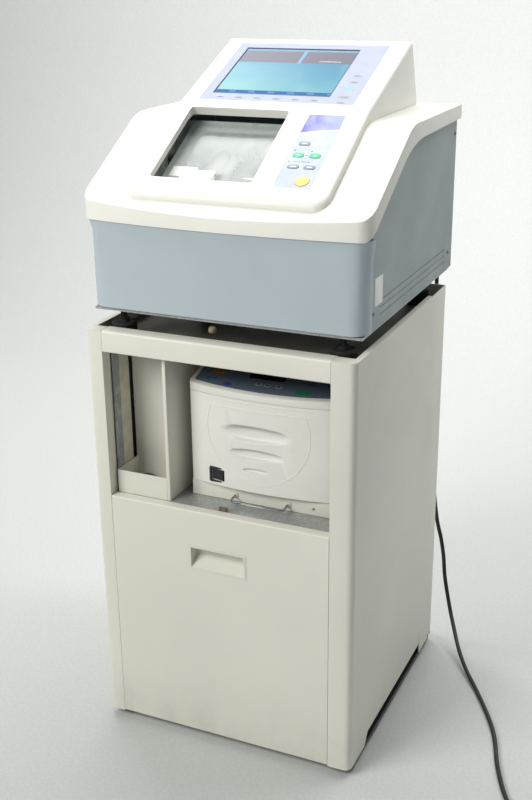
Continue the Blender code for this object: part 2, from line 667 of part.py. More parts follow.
def tracer():
    tray_wall = 0.004
    tray = box("tracer_tray", (TRACER_LEFT_X + 0.001, TRACER_FRONT_Y, BAY_FLOOR_Z + 0.0005),
               (TRACER_RIGHT_X - 0.001, TRACER_BACK_Y, TRAY_TOP_Z), CREAM_PAINT, 0.0015)
    boolean(tray, box("tray_hollow", (TRACER_LEFT_X + tray_wall, TRACER_FRONT_Y + tray_wall, 0.4),
                      (TRACER_RIGHT_X - tray_wall, TRACER_BACK_Y - tray_wall, TRAY_TOP_Z - 0.003)))

    left, right = HANDLE_X
    start_y = TRACER_FRONT_Y - GAP
    front_y = start_y - HANDLE_REACH
    bar_z = HANDLE_Z - 0.003
    bar = [(left, start_y, HANDLE_Z), (left, front_y + 0.006, HANDLE_Z - 0.002),
           (left + 0.002, front_y + 0.002, bar_z), (left + 0.006, front_y, bar_z),
           (right - 0.006, front_y, bar_z), (right - 0.002, front_y + 0.002, bar_z),
           (right, front_y + 0.006, HANDLE_Z - 0.002), (right, start_y, HANDLE_Z)]
    wire("tracer_wire_handle", bar, HANDLE_WIRE_R, CHROME, sides=3)

    front = TRACER_FRONT_Y - TRACER_BOW
    plan = bowed_plan(TRACER_HALF_W, front, TRACER_BACK_Y, TRACER_BOW, TRACER_CORNER_R, 12, TRACER_MID_X)
    inner = bowed_plan(TRACER_HALF_W - TRACER_WALL, front + TRACER_FRONT_WALL, TRACER_BACK_Y - TRACER_WALL,
                       TRACER_BOW, TRACER_CORNER_R - 0.002, 12, TRACER_MID_X)
    body = extruded("tracer_body", plan, TRAY_TOP_Z + GAP, TRACER_SEAM_Z, "XY", WHITE_PLASTIC)
    boolean(body, extruded("tracer_body_inside", inner, TRAY_TOP_Z + TRACER_WALL, TRACER_SEAM_Z + 0.01, "XY"))
    # three finger scoops pressed into the front
    ball = [(0, 1.0), (0.5, 0.87), (0.87, 0.5), (1.0, 0), (0.87, -0.5), (0.5, -0.87), (0, -1.0)]
    for x, z, half_w, half_h in SCOOPS:
        scoop = turned("front_scoop", ball, (x, front + 0.0015, z), "Z", sides=20)
        scoop.scale = (half_w, 0.0028, half_h)
        boolean(body, scoop)
    tracer_switch(body, front)
    tracer_top(plan, front)
    tracer_stage()


def tracer_switch(body, front):
    """A rocker that tips about an upright pin, set square to the bowed front."""
    across = ROCKER_X - TRACER_MID_X
    radius = bow_radius(TRACER_HALF_W, TRACER_BOW)
    face_y = front + radius - sqrt(radius ** 2 - across ** 2)
    turn = math.asin(across / radius)
    hole_w, hole_h = ROCKER_HALF_W + 0.0006, ROCKER_HALF_H + 0.0004
    hole = box("switch_hole", (ROCKER_X - hole_w, face_y - 0.02, ROCKER_Z - hole_h),
               (ROCKER_X + hole_w, face_y + 0.02, ROCKER_Z + hole_h))
    hole.rotation_euler.z = turn
    boolean(body, hole)
    # one half of its face is square to the hole and the other tips out, until it is pressed
    w = ROCKER_HALF_W - 0.0006
    face = [(-w, 0.0), (0.0, 0.0), (w * cos(ROCKER_THROW), -w * sin(ROCKER_THROW))]
    back = arc((0.0, 0.0), w, 0, 180, 8)
    rocker = extruded("tracer_rocker_switch", face + back, -ROCKER_HALF_H, ROCKER_HALF_H, "XY", BLACK_PLASTIC)
    rocker.location = (ROCKER_X, face_y + 0.0015, ROCKER_Z)
    rocker.rotation_euler.z = turn


def tracer_top(plan, front):
    shelf_z = TRACER_TOP_Z + (SHELF_Y - TRACER_FRONT_Y) * tan(TRACER_SLOPE)
    seam_z = TRACER_SEAM_Z + GAP
    profile = [(front - 0.01, seam_z), (TRACER_BACK_Y, seam_z), (TRACER_BACK_Y, shelf_z), (SHELF_Y, shelf_z),
               (TRACER_FRONT_Y, TRACER_TOP_Z), (front - 0.01, TRACER_TOP_Z - 0.0060)]
    top = extruded("tracer_top_cover", plan, 0.6000, 0.8000, "XY", WHITE_PLASTIC)
    boolean(top, extruded("tracer_top_profile", profile, -0.3, 0.3, "YZ"), "INTERSECT")
    bevel(top, 0.004, 2, 50)
    # the keypad film lies in a recess of the slope and follows the bowed front
    out = Vector((0, -sin(TRACER_SLOPE), cos(TRACER_SLOPE)))
    origin = Vector((TRACER_MID_X, TRACER_FRONT_Y, TRACER_TOP_Z))
    half = TRACER_HALF_W - KEYPAD_EDGE
    s0, s1 = KEYPAD_S
    for name, shrink, low, high, look in (("keypad_recess", 0.0, -0.0010, 0.0200, None),
                                          ("tracer_keypad", GAP, -0.0007, 0.0003, DARK_PANEL)):
        film = bowed_plan(half - shrink, s0 + shrink, s1 - shrink, KEYPAD_BOW, 0.004, 12)
        piece = extruded(name, film, -(high - low) / 2, (high - low) / 2, "XY", look)
        tilt(piece, origin + out * (low + high) / 2, TRACER_SLOPE)
        if look is None:
            boolean(top, piece)
    front_wall, wall = 0.006, 0.004
    hollow = [(TRACER_FRONT_Y + front_wall, 0.600), (TRACER_BACK_Y - wall, 0.600),
              (TRACER_BACK_Y - wall, shelf_z - wall), (SHELF_Y, shelf_z - wall),
              (TRACER_FRONT_Y + front_wall, TRACER_TOP_Z - 0.003)]
    boolean(top, extruded("tracer_top_inside", hollow, TRACER_LEFT_X + front_wall, TRACER_RIGHT_X - front_wall,
                          "YZ"))
    boolean(top, box("tracer_well", (TRACER_MID_X - WELL_HALF_W, WELL_Y[0], 0.6),
                     (TRACER_MID_X + WELL_HALF_W, WELL_Y[1], 0.8)))


def tracer_stage():
    """Inside the well: two clamps that close on a frame together, and the tracing stage between them."""
    y0, y1 = WELL_Y
    z0, z1 = CLAMP_Z
    depth, clear = 0.012, 0.0045
    for name, low_y, groove_y in (("tracer_clamp_front", y0 + clear, y0 + clear + depth),
                                  ("tracer_clamp_rear", y1 - clear - depth, y1 - clear - depth)):
        clamp = box(name, (TRACER_MID_X - WELL_HALF_W + 0.005, low_y, z0),
                    (TRACER_MID_X + WELL_HALF_W - 0.005, low_y + depth, z1), BLACK_PLASTIC, 0.002)
        boolean(clamp, box(name + "_groove", (TRACER_MID_X - 0.075, groove_y - 0.003, z0 + 0.012),
                           (TRACER_MID_X + 0.075, groove_y + 0.003, z0 + 0.020)))
    stage = [(0, 0.046), (0.003, 0.046), (0.003, 0.020), (0.012, 0.018), (0.012, 0.010), (0.060, 0.010),
             (0.060, 0), (0, 0)]
    table = turned("tracer_turntable", stage, (TRACER_MID_X, TABLE_Y, TABLE_Z), "Z", STEEL, 36)
    boolean(table, cylinder("stylus_arm", 0.0025, (TRACER_MID_X - 0.001, TABLE_Y, TABLE_Z + 0.040), 0.030, "X",
                            sides=12), "UNION")


# ---------------------------------------------------------------- edger: base and outside

def machine_feet():
    """Four levelling feet: a rubber disc and a stud with a lock nut."""
    height = BASE_Z - GAP - TOP_PLATE_Z - GAP
    for name, x, y in (("machine_foot_front_left", -0.198, 0.058), ("machine_foot_front_right", 0.198, 0.058),
                       ("machine_foot_rear_left", -0.198, 0.440), ("machine_foot_rear_right", 0.198, 0.440)):
        profile = [(0, height), (0.005, height), (0.005, 0.034), (0.009, 0.034), (0.009, 0.028),
                   (0.0190, 0.028), (0.0215, 0.0255), (0.0215, 0), (0, 0)]
        turned(name, profile, (x, y, TOP_PLATE_Z + GAP), "Z", BLACK_RUBBER, 28)


def base_plate():
    half = MACHINE_HALF_W - 0.005
    plate = box("base_plate", (-half, SKIRT_Y + 0.005, BASE_Z), (half, MACHINE_BACK_Y - 0.006, BASE_Z + 0.004),
                ZINC)
    boolean(plate, cylinder("base_hose_hole", HOSE_HOLE_R, (HOSE_X, HOSE_Y, 0.78), 0.03, "Z", sides=24))
    return plate


# the line between the blue base and the white cover, from the side
SEAM = rounded([(-0.02, SEAM_FRONT_Z, 0), (0.030, SEAM_FRONT_Z, 0.010), (0.223, 1.063, 0.210),
                (0.510, SEAM_BACK_Z, 0)], 6)


def front_skirt():
    """The blue front: flat below, flaring out to the bowed seam above, with round corners."""
    depth = SKIRT_D + 0.002
    high_z = 0.980
    flat = rounded([(-MACHINE_HALF_W, depth + SKIRT_Y, 0), (-MACHINE_HALF_W, SKIRT_Y, CORNER_R),
                    (MACHINE_HALF_W, SKIRT_Y, CORNER_R), (MACHINE_HALF_W, depth + SKIRT_Y, 0)], 6)
    skirt = extruded("front_skirt", flat, SKIRT_BOTTOM_Z, high_z, "XY", BLUE_GREY)
    top_z = SEAM_FRONT_Z - 2 * GAP
    top_w, foot_w = MACHINE_HALF_W + 0.004, MACHINE_HALF_W - 0.004
    flare = extruded("skirt_flare", bowed_plan(top_w, COVER_FRONT_Y + 0.002, 0.0620, BOW, CORNER_R, 16),
                     top_z - FLARE_H, top_z, "XY")
    # the flare leans: its foot stands further back than its top
    for vertex in flare.data.vertices:
        if vertex.co.z < 0:
            vertex.co.y += FLARE_LEAN * FLARE_H
            vertex.co.x *= foot_w / top_w
    boolean(skirt, flare, "UNION")
    inner_w, inner_y = MACHINE_HALF_W - WALL, SKIRT_Y + WALL
    inner = rounded([(-inner_w, 0.2, 0), (-inner_w, inner_y, CORNER_R - WALL),
                     (inner_w, inner_y, CORNER_R - WALL), (inner_w, 0.2, 0)], 6)
    boolean(skirt, extruded("skirt_inside", inner, 0.7, 1.0, "XY"))
    boolean(skirt, box("skirt_back_cut", (-0.3, SKIRT_Y + SKIRT_D, 0.7), (0.3, 0.3, 1.0)))
    above = [(y, z - GAP) for y, z in SEAM] + [(0.51, 1.2), (-0.02, 1.2)]
    boolean(skirt, extruded("skirt_above", above, -0.3, 0.3, "YZ"))


def machine_sides():
    front_y = SKIRT_Y + SKIRT_D + GAP
    back_y = MACHINE_BACK_Y - 0.0040
    outline = [(front_y, SKIRT_BOTTOM_Z), (front_y, 1.2), (back_y, 1.2), (back_y, SKIRT_BOTTOM_Z + 0.010),
               (back_y - 0.010, SKIRT_BOTTOM_Z)]
    above = [(y, z - GAP) for y, z in SEAM] + [(0.51, 1.3), (-0.02, 1.3)]
    for name, side in (("left_side_panel", -1), ("right_side_panel", 1)):
        outer = side * MACHINE_HALF_W
        inner = outer - side * WALL
        panel = extruded(name, outline, min(outer, inner), max(outer, inner), "YZ", SIDE_GREY)
        boolean(panel, extruded(name + "_above", above, -0.3, 0.3, "YZ"))
        for z in (0.8155, 0.827, 0.838):
            bead = box("side_bead", (outer - 0.0010, 0.095, z - 0.0012), (outer + 0.0010, 0.452, z + 0.0012))
            boolean(panel, bead)


def rear_panel():
    panel = box("rear_panel", (-MACHINE_HALF_W + 0.0005, MACHINE_BACK_Y - 0.003, SKIRT_BOTTOM_Z),
                (MACHINE_HALF_W - 0.0005, MACHINE_BACK_Y, SEAM_BACK_Z - 2 * GAP), SIDE_GREY)
    for k in range(8):
        z = 0.900 + 0.012 * k
        boolean(panel, box("vent_slot", (-0.120, 0.45, z), (-0.020, 0.55, z + 0.004)))
    boolean(panel, cylinder("gland_hole", 0.0083, (GLAND_X, 0.45, GLAND_Z), 0.1, "Y", sides=24))


# ---------------------------------------------------------------- edger: top cover and console

def cover_outside(name, grow, look=None):
    """The top cover as a solid: its bowed plan under its sloping and flat top, edges rounded."""
    plan = bowed_plan(COVER_HALF_W + grow, COVER_FRONT_Y - grow, MACHINE_BACK_Y + grow, BOW, CORNER_R, 16)
    solid = extruded(name, plan, 0.900, 1.200, "XY", look)
    wing_y = COVER_Y0 + (WING_Z - COVER_Z0) / tan(SLOPE)
    rise = grow / cos(SLOPE)
    profile = [(-0.1, 0.880), (0.6, 0.880)]
    profile += rounded([(0.6, WING_Z + grow, 0), (wing_y, WING_Z + grow, 0.090),
                        (-0.1, COVER_Z0 + rise - (COVER_Y0 + 0.1) * tan(SLOPE), 0)], 5)
    boolean(solid, extruded(name + "_profile", profile, -0.3, 0.3, "YZ"), "INTERSECT")
    return solid


def top_cover():
    cover = cover_outside("top_cover", 0.0, WHITE_PLASTIC)
    bevel(cover, 0.010, 3, 35)
    boolean(cover, cover_outside("cover_inside", -WALL))
    below = list(SEAM) + [(0.6, SEAM_BACK_Z), (0.6, 0.8), (-0.1, 0.8), (-0.1, SEAM_FRONT_Z)]
    boolean(cover, extruded("cover_below", below, -0.3, 0.3, "YZ"))
    boolean(cover, box("cover_opening", (-0.160, 0.070, 0.9), (0.160, 0.440, 1.3)))


def console_profile(inset, foot_z):
    """The console from the side, inset from its outer face, down to foot_z inside the top cover."""
    rise = inset / cos(SLOPE)
    front_y = CONSOLE_FRONT_Y + inset
    top_y = DISPLAY_ORIGIN.y + DISPLAY_TOP_S * cos(DISPLAY_SLOPE) - inset
    slope_z = CONSOLE_ORIGIN.z + (front_y - COVER_Y0) * tan(SLOPE) - rise
    bend_z = BEND_Z - rise
    top_z = BEND_Z + (top_y - BEND_Y) * tan(DISPLAY_SLOPE) - inset / cos(DISPLAY_SLOPE)
    back_foot_z = foot_z + 0.110
    back_y = top_y + (top_z - back_foot_z) * tan(CONSOLE_BACK_LEAN)
    return [(front_y, foot_z), (BEND_Y, foot_z), (back_y, back_foot_z), (top_y, top_z), (BEND_Y, bend_z),
            (front_y, slope_z)]


def console_plan(inset):
    """The console from above as a tall block: only its two round front corners cut anything."""
    half = CONSOLE_HALF_W - inset + PLAN_MARGIN
    front_y = CONSOLE_FRONT_Y + inset - PLAN_MARGIN
    corner_r = CONSOLE_CORNER_R - inset
    corners = [(-half, 0.6, 0), (-half, front_y, corner_r), (half, front_y, corner_r), (half, 0.6, 0)]
    outline = rounded(corners, 5)
    return extruded("console_plan", outline, 0.9, 1.3, "XY")


def console_cover():
    cover = extruded("console_cover", console_profile(0, 0.950), -CONSOLE_HALF_W, CONSOLE_HALF_W, "YZ",
                     WHITE_PLASTIC)
    boolean(cover, console_plan(0.0), "INTERSECT")
    bevel(cover, 0.007, 3, 40)
    half = CONSOLE_HALF_W - CONSOLE_WALL
    inside = extruded("console_inside", console_profile(CONSOLE_WALL, 0.930), -half, half, "YZ")
    boolean(inside, console_plan(CONSOLE_WALL), "INTERSECT")
    boolean(cover, inside)
    boolean(cover, slab("window_tunnel", (WINDOW_LEFT_X - WALL, WINDOW_RIGHT_X + WALL),
                        (WINDOW_S[0] - WALL, WINDOW_S[1] + WALL), (-TUNNEL_DEPTH, -0.0020), None, 0.009),
            "UNION")
    boolean(cover, cover_outside("console_seat", GAP))
    boolean(cover, slab("window_hole", (WINDOW_LEFT_X, WINDOW_RIGHT_X), WINDOW_S, (-0.05, 0.02), None, 0.006))
    boolean(cover, slab("strip_recess", STRIP_X, STRIP_S, (-0.0013, 0.02), None, 0.002))
    for _, x, s, half_w, half_l, _ in STRIP_KEYS:
        pocket = slab("key_pocket", (x - half_w - 0.0005, x + half_w + 0.0005),
                      (s - half_l - 0.0005, s + half_l + 0.0005), (-0.0033, 0.02), None, 0.0025)
        boolean(cover, pocket)
    boolean(cover, slab("display_recess", DISPLAY_X, DISPLAY_S, (-0.0013, 0.02), None, 0.002,
                        DISPLAY_ORIGIN, DISPLAY_SLOPE))
    boolean(cover, slab("screen_hole", (SCREEN_X[0] - GAP, SCREEN_X[1] + GAP),
                        (SCREEN_S[0] - GAP, SCREEN_S[1] + GAP), (-0.05, 0.02), None, 0.001,
                        DISPLAY_ORIGIN, DISPLAY_SLOPE))


def panels_and_keys():
    display = slab("display_overlay", (DISPLAY_X[0] + GAP, DISPLAY_X[1] - GAP),
                   (DISPLAY_S[0] + GAP, DISPLAY_S[1] - GAP), (-0.0010, 0), PALE_PANEL, 0.002,
                   DISPLAY_ORIGIN, DISPLAY_SLOPE)
    boolean(display, slab("screen_cut", SCREEN_X, SCREEN_S, (-0.05, 0.05), None, 0.001,
                          DISPLAY_ORIGIN, DISPLAY_SLOPE))
    slab("lcd_screen", (SCREEN_X[0] + GAP, SCREEN_X[1] - GAP), (SCREEN_S[0] + GAP, SCREEN_S[1] - GAP),
         (-0.0080, -0.0006), SCREEN, 0, DISPLAY_ORIGIN, DISPLAY_SLOPE)
    strip = slab("control_overlay", (STRIP_X[0] + GAP, STRIP_X[1] - GAP), (STRIP_S[0] + GAP, STRIP_S[1] - GAP),
                 (-0.0010, 0), PALE_PANEL, 0.002)
    for name, x, s, half_w, half_l, look in STRIP_KEYS:
        corner = min(half_w, half_l) * 0.98
        boolean(strip, slab("key_cut", (x - half_w - 0.0004, x + half_w + 0.0004),
                            (s - half_l - 0.0004, s + half_l + 0.0004), (-0.05, 0.05), None, corner))
        slab(name, (x - half_w, x + half_w), (s - half_l, s + half_l), (-0.0016, 0.0008), look, corner)


def chamber_window():
    """The sliding window with its finger tab."""
    pane = slab("chamber_window", (WINDOW_LEFT_X - 0.003, WINDOW_RIGHT_X + 0.003),
                (WINDOW_S[0] - 0.002, WINDOW_S[1] + 0.0025), (-0.0340, -0.0305), CLEAR, 0.008)
    tab = slab("window_tab", (-0.0973, -0.0395), (WINDOW_S[0] + 0.0176, WINDOW_S[0] + 0.0281),
               (-0.0310, -0.0180), None, 0.002)
    boolean(pane, tab, "UNION")


# ---------------------------------------------------------------- edger: grinding chamber

def chamber():
    back = on_slope(0, 0.2050, -0.0370)
    front = on_slope(0, 0.0060, -0.0370)
    low_z = TUB_BOTTOM_Z
    outline = [(front.y, low_z), (back.y, low_z), (back.y, back.z), (front.y, front.z)]
    wall = TUB_WALL
    left, right = TUB_X
    tub = extruded("chamber_tub", outline, left, right, "YZ", TANK_WHITE)
    inside = [(front.y + wall, low_z + wall), (back.y - wall, low_z + wall), (back.y - wall, 1.2),
              (front.y + wall, 1.2)]
    boolean(tub, extruded("tub_inside", inside, left + wall, right - wall, "YZ"))
    boolean(tub, cylinder("tub_drain", 0.009, (HOSE_X, HOSE_Y, 0.80), 0.1, "Z", sides=20))
    boolean(tub, cylinder("tub_spindle_hole", SPINDLE_R + 0.002, (0.02, *SPINDLE_YZ), 0.08, "X", sides=24))
    for x in TUB_X:
        slot = box("tub_shaft_slot", (x - 0.01, LENS_YZ[0] - 0.024, LENS_YZ[1] - 0.038),
                   (x + 0.01, LENS_YZ[0] + 0.020, LENS_YZ[1] + 0.036))
        boolean(tub, slot)

    y, z = SPINDLE_YZ
    wheels = [(0, 0.0), (SPINDLE_R, 0.0), (SPINDLE_R, -0.020), (0.030, -0.020), (0.030, -0.026),
              (0.050, -0.026), (0.050, -0.046), (0.048, -0.047), (0.048, -0.066), (0.050, -0.067),
              (0.050, -0.072), (0.046, -0.078), (0.050, -0.084), (0.050, -0.098), (0.048, -0.099),
              (0.048, -0.112), (0.030, -0.112), (0.030, -0.118), (SPINDLE_R, -0.118),
              (SPINDLE_R, -0.186), (0, -0.186)]
    spindle = turned("wheel_spindle", wheels, (-0.120, y, z), "X", ABRASIVE, 40)
    spindle.rotation_euler = (0, -pi / 2, 0)
    cylinder("wheel_motor", MOTOR_R, (0.0665, y, z), 0.120, "X", MOTOR_GREY, sides=32)

    hose = [(0.0120, 0), (0.0120, -0.460), (0.0090, -0.460), (0.0090, 0)]
    turned("drain_hose", hose, (HOSE_X, HOSE_Y, low_z - GAP), "Z", HOSE_GREY, 24)


def lens_carriage():
    """A yoke behind the tub whose arms hold the two lens shafts, swinging about its rear pivot."""
    pivot_y, pivot_z = CARRIAGE_PIVOT_YZ
    lens_y, lens_z = LENS_YZ
    side = [(lens_y - 0.018, lens_z - 0.018), (lens_y + 0.020, lens_z - 0.018),
            (pivot_y - 0.020, pivot_z - 0.018), (pivot_y + 0.018, pivot_z - 0.018),
            (pivot_y + 0.018, pivot_z + 0.018), (lens_y + 0.016, lens_z + 0.018),
            (lens_y - 0.018, lens_z + 0.018)]
    yoke = extruded("lens_carriage", side, -0.200, 0.096, "YZ", STEEL)
    boolean(yoke, box("yoke_space", (-0.1735, 0.1, 0.8), (0.0585, 0.300, 1.2)))
    boolean(yoke, cylinder("arm_bore_left", LENS_SHAFT_R + 0.0005, (-0.25, *LENS_YZ), 0.1, "X", sides=32))
    boolean(yoke, cylinder("arm_bore_right", QUILL_R + 0.0005, (0.05, *LENS_YZ), 0.1, "X", sides=32))
    r, pad_r = LENS_SHAFT_R, LENS_PAD_R
    shaft_l = [(0, 0), (pad_r, 0), (pad_r, -0.004), (r, -0.006), (r, -LEFT_SHAFT_L), (0, -LEFT_SHAFT_L)]
    turned("lens_shaft_left", shaft_l, (LEFT_PAD_X, *LENS_YZ), "X", CHROME, 32)
    shaft_r = [(0, 0), (pad_r, 0), (pad_r, -0.004), (r, -0.006), (r, -RIGHT_SHAFT_L), (0, -RIGHT_SHAFT_L)]
    right = turned("lens_shaft_right", shaft_r, (RIGHT_PAD_X, *LENS_YZ), "X", CHROME, 32)
    right.rotation_euler = (0, -pi / 2, 0)
    quill = [(QUILL_R, 0), (QUILL_R, -0.050), (LENS_SHAFT_R + 0.0005, -0.050), (LENS_SHAFT_R + 0.0005, 0)]
    turned("clamp_quill", quill, (0.1100, *LENS_YZ), "X", STEEL, 32)


# ---------------------------------------------------------------- mains cord

CORD_ROUTE = (
    (GLAND_X, 0.5480, 0.8496), (GLAND_X + 0.001, 0.5660, 0.8436), (0.1920, 0.5800, 0.8270),
    (0.1930, 0.5860, 0.8000), (0.1934, 0.5850, 0.7700), (0.1940, 0.5810, 0.7000), (0.1960, 0.5740, 0.6000),
    (0.2000, 0.5660, 0.5000), (0.2060, 0.5570, 0.4000), (0.2160, 0.5470, 0.3200), (0.2287, 0.5370, 0.2520),
    (0.2400, 0.5330, 0.2130), (0.2480, 0.5300, 0.1740), (0.2545, 0.5250, 0.1280), (0.2720, 0.5060, 0.0740),
    (0.2920, 0.4740, 0.0440), (0.3153, 0.4308, 0.0240), (0.3420, 0.3881, 0.0110), (0.3756, 0.3382, 0.0050),
    (0.4142, 0.2713, 0.0045), (0.4422, 0.2117, 0.0045), (0.4661, 0.1365, 0.0045), (0.4885, 0.0801, 0.0045),
    (0.5070, 0.0440, 0.0045), (0.5260, 0.0060, 0.0045),
)


# The cord comes in along the coil's outer turn, which it joins at the tangent point
ROUTE_END = Vector(CORD_ROUTE[-1][:2])
ROUTE_HEADING = (ROUTE_END - Vector(CORD_ROUTE[-2][:2])).normalized()
OUTER_TURN_R = COIL_OUTER_R - CORD_D / 2
TANGENT_RUN = sqrt((COIL_OUTER_R + GAP) ** 2 - (OUTER_TURN_R - CORD_D / 2) ** 2)
COIL_CENTRE = (ROUTE_END + ROUTE_HEADING * TANGENT_RUN
               + Vector((ROUTE_HEADING.y, -ROUTE_HEADING.x)) * OUTER_TURN_R)


def smooth_route(route, step):
    """Points evenly spaced on a Catmull-Rom curve through the route's own points."""
    route = [Vector(p) for p in route]
    padded = [2 * route[0] - route[1]] + route + [2 * route[-1] - route[-2]]
    fine = []
    for a, b, c, d in zip(padded, padded[1:], padded[2:], padded[3:]):
        for k in range(12):
            t = k / 12
            fine.append(0.5 * (2 * b + (c - a) * t + (2 * a - 5 * b + 4 * c - d) * t ** 2
                               + (3 * b - a - 3 * c + d) * t ** 3))
    fine.append(route[-1])
    length = sum((q - p).length for p, q in zip(fine, fine[1:]))
    count = round(length / step)
    spaced, walked, target = [fine[0]], 0.0, length / count
    for p, q in zip(fine, fine[1:]):
        run = (q - p).length
        while run > 0 and walked + run >= target - 1e-9 and len(spaced) < count:
            spaced.append(p.lerp(q, (target - walked) / run))
            target += length / count
        walked += run
    return spaced + [fine[-1]]


def mains_cord():
    profile = [(0, 0), (CORD_D / 2 + 0.0005, 0), (CORD_D / 2 + 0.0015, -0.012), (0.0078, -GLAND_LENGTH + 0.004),
               (0.0105, -GLAND_LENGTH + 0.004), (0.0105, -GLAND_LENGTH), (0.0080, -GLAND_LENGTH),
               (0.0080, -GLAND_LENGTH - 0.006), (0, -GLAND_LENGTH - 0.006)]
    turned("cord_gland", profile, (GLAND_X, MACHINE_BACK_Y + GLAND_LENGTH + GAP, GLAND_Z), "Y",
                   BLACK_RUBBER, 24)
    start = (GLAND_X, MACHINE_BACK_Y + GLAND_LENGTH + 2 * GAP, GLAND_Z)
    points = smooth_route((start,) + CORD_ROUTE, CORD_POINT_STEP)
    wire("mains_cord", points, CORD_D / 2, BLACK_RUBBER, sides=2)
    height = COIL_ROWS * CORD_D
    ring = [(COIL_OUTER_R, height), (COIL_OUTER_R, 0), (COIL_INNER_R, 0), (COIL_INNER_R, height)]
    turned("cord_coil", ring, (*COIL_CENTRE, FLOOR_GAP), "Z", BLACK_RUBBER, 36)


def mains_plug():
    """A plain moulded plug where the coil's last turn leaves it, heading for -X, with two round pins."""
    rear_x = COIL_CENTRE[0] - 0.0435
    y, z = COIL_CENTRE[1] - OUTER_TURN_R, FLOOR_GAP + PLUG_H / 2
    body = box("mains_plug", (rear_x - PLUG_L, y - PLUG_W / 2, FLOOR_GAP),
               (rear_x, y + PLUG_W / 2, FLOOR_GAP + PLUG_H), BLACK_PLASTIC, 0.005, 2)
    boot = turned("plug_boot", [(0, PLUG_BOOT_L), (0.0060, PLUG_BOOT_L), (0.0085, -0.006), (0, -0.006)],
                  (rear_x, y, z), "X", sides=16)
    boolean(body, boot, "UNION")
    for pin_y in (y - 0.0095, y + 0.0095):
        pin = cylinder("plug_pin", 0.0023, (rear_x - PLUG_L - 0.019, pin_y, z), 0.030, "X", sides=12)
        boolean(body, pin, "UNION")


cabinet_sides()
cabinet_back_panel()
cabinet_front_rail()
cabinet_top_plate()
cabinet_base()
bay()
accessory_jig()
drawer_slides()
drawer()
tracer()
machine_feet()
base_plate()
front_skirt()
machine_sides()
rear_panel()
top_cover()
console_cover()
panels_and_keys()
chamber_window()
chamber()
lens_carriage()
mains_cord()
mains_plug()
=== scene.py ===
"""The looks of an automatic lens edger on its cabinet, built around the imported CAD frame.

Lengths are in metres and +Z is up. Places are written in the cabinet's own terms: X across, Y from the
cabinet's front plane to the back, Z up. The three sloping faces have their own planes, with s running up
the slope and h standing out of it.
"""

import json
from math import cos, pi, radians, sin, sqrt, tan

import bmesh
import bpy
from mathutils import Matrix, Vector


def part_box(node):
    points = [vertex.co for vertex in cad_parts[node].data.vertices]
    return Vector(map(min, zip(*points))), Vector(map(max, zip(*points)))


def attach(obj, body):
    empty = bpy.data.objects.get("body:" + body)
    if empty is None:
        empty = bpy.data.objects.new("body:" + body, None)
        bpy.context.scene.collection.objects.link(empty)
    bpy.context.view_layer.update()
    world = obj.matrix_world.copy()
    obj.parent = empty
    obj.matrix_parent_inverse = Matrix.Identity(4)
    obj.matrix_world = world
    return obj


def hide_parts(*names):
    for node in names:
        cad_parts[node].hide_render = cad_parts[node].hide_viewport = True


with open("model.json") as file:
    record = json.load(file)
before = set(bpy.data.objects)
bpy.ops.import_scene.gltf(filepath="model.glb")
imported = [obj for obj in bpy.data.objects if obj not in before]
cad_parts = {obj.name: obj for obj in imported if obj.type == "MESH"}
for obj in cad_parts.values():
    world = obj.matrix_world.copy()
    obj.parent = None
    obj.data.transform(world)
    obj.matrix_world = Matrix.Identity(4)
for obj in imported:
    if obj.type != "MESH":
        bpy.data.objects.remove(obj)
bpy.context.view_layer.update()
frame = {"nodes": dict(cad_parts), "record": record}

ROOT = "edger_on_cabinet"
FRONT_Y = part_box("cabinet_left_side")[0][1]
MACHINE_BACK_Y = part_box("rear_panel")[1][1]

# Sloping faces
SLOPE = radians(30.5)
DISPLAY_SLOPE = radians(23.5)
KEYPAD_SLOPE = radians(15)
CONSOLE_Y0 = 0.0538
CONSOLE_Z0 = 1.0036
BEND_Y = 0.228
BEND_Z = CONSOLE_Z0 + (BEND_Y - CONSOLE_Y0) * tan(SLOPE)

# Console window, display and control strip
WINDOW_X = (-0.142, 0.038)
WINDOW_S = (0.0159, 0.1952)
SCREEN_X = (-0.1225, 0.0895)
SCREEN_S = (0.0405, 0.1975)
STRIP_X = (0.0750, 0.1375)

# Frame tracer
TRACER_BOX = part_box("tracer_body")
TRACER_MID_X = (TRACER_BOX[0][0] + TRACER_BOX[1][0]) / 2
TRACER_HALF_W = (TRACER_BOX[1][0] - TRACER_BOX[0][0]) / 2
TRACER_BOW = 0.014
TRACER_BOW_R = (TRACER_HALF_W ** 2 + TRACER_BOW ** 2) / (2 * TRACER_BOW)
TRACER_NOSE_Y = TRACER_BOX[0][1]
# Each scoop on the tracer's front: x and z of its middle, half width, half height
SCOOPS = (
    (0.0454, 0.5982, 0.0700, 0.0160),
    (0.0477, 0.5612, 0.0520, 0.0110),
    (0.0480, 0.5326, 0.0265, 0.0048),
)
RIBS_X = (-0.041, 0.147)
RIBS_Z = (0.6520, 0.6400)
RING_X = 0.0494
RING_Z = 0.6020
RING_R = 0.0937
RING_START = 158.7
RING_SWEEP = 222.6
SWITCH_X = -0.0255
SWITCH_Z = 0.512
HANDLE_X = (0.0020, 0.1000)
HANDLE_Z = 0.4750
TRAY_SCREW = (0.1458, 0.4757)
KEYPAD_Y0 = 0.062
KEYPAD_Z0 = 0.6720

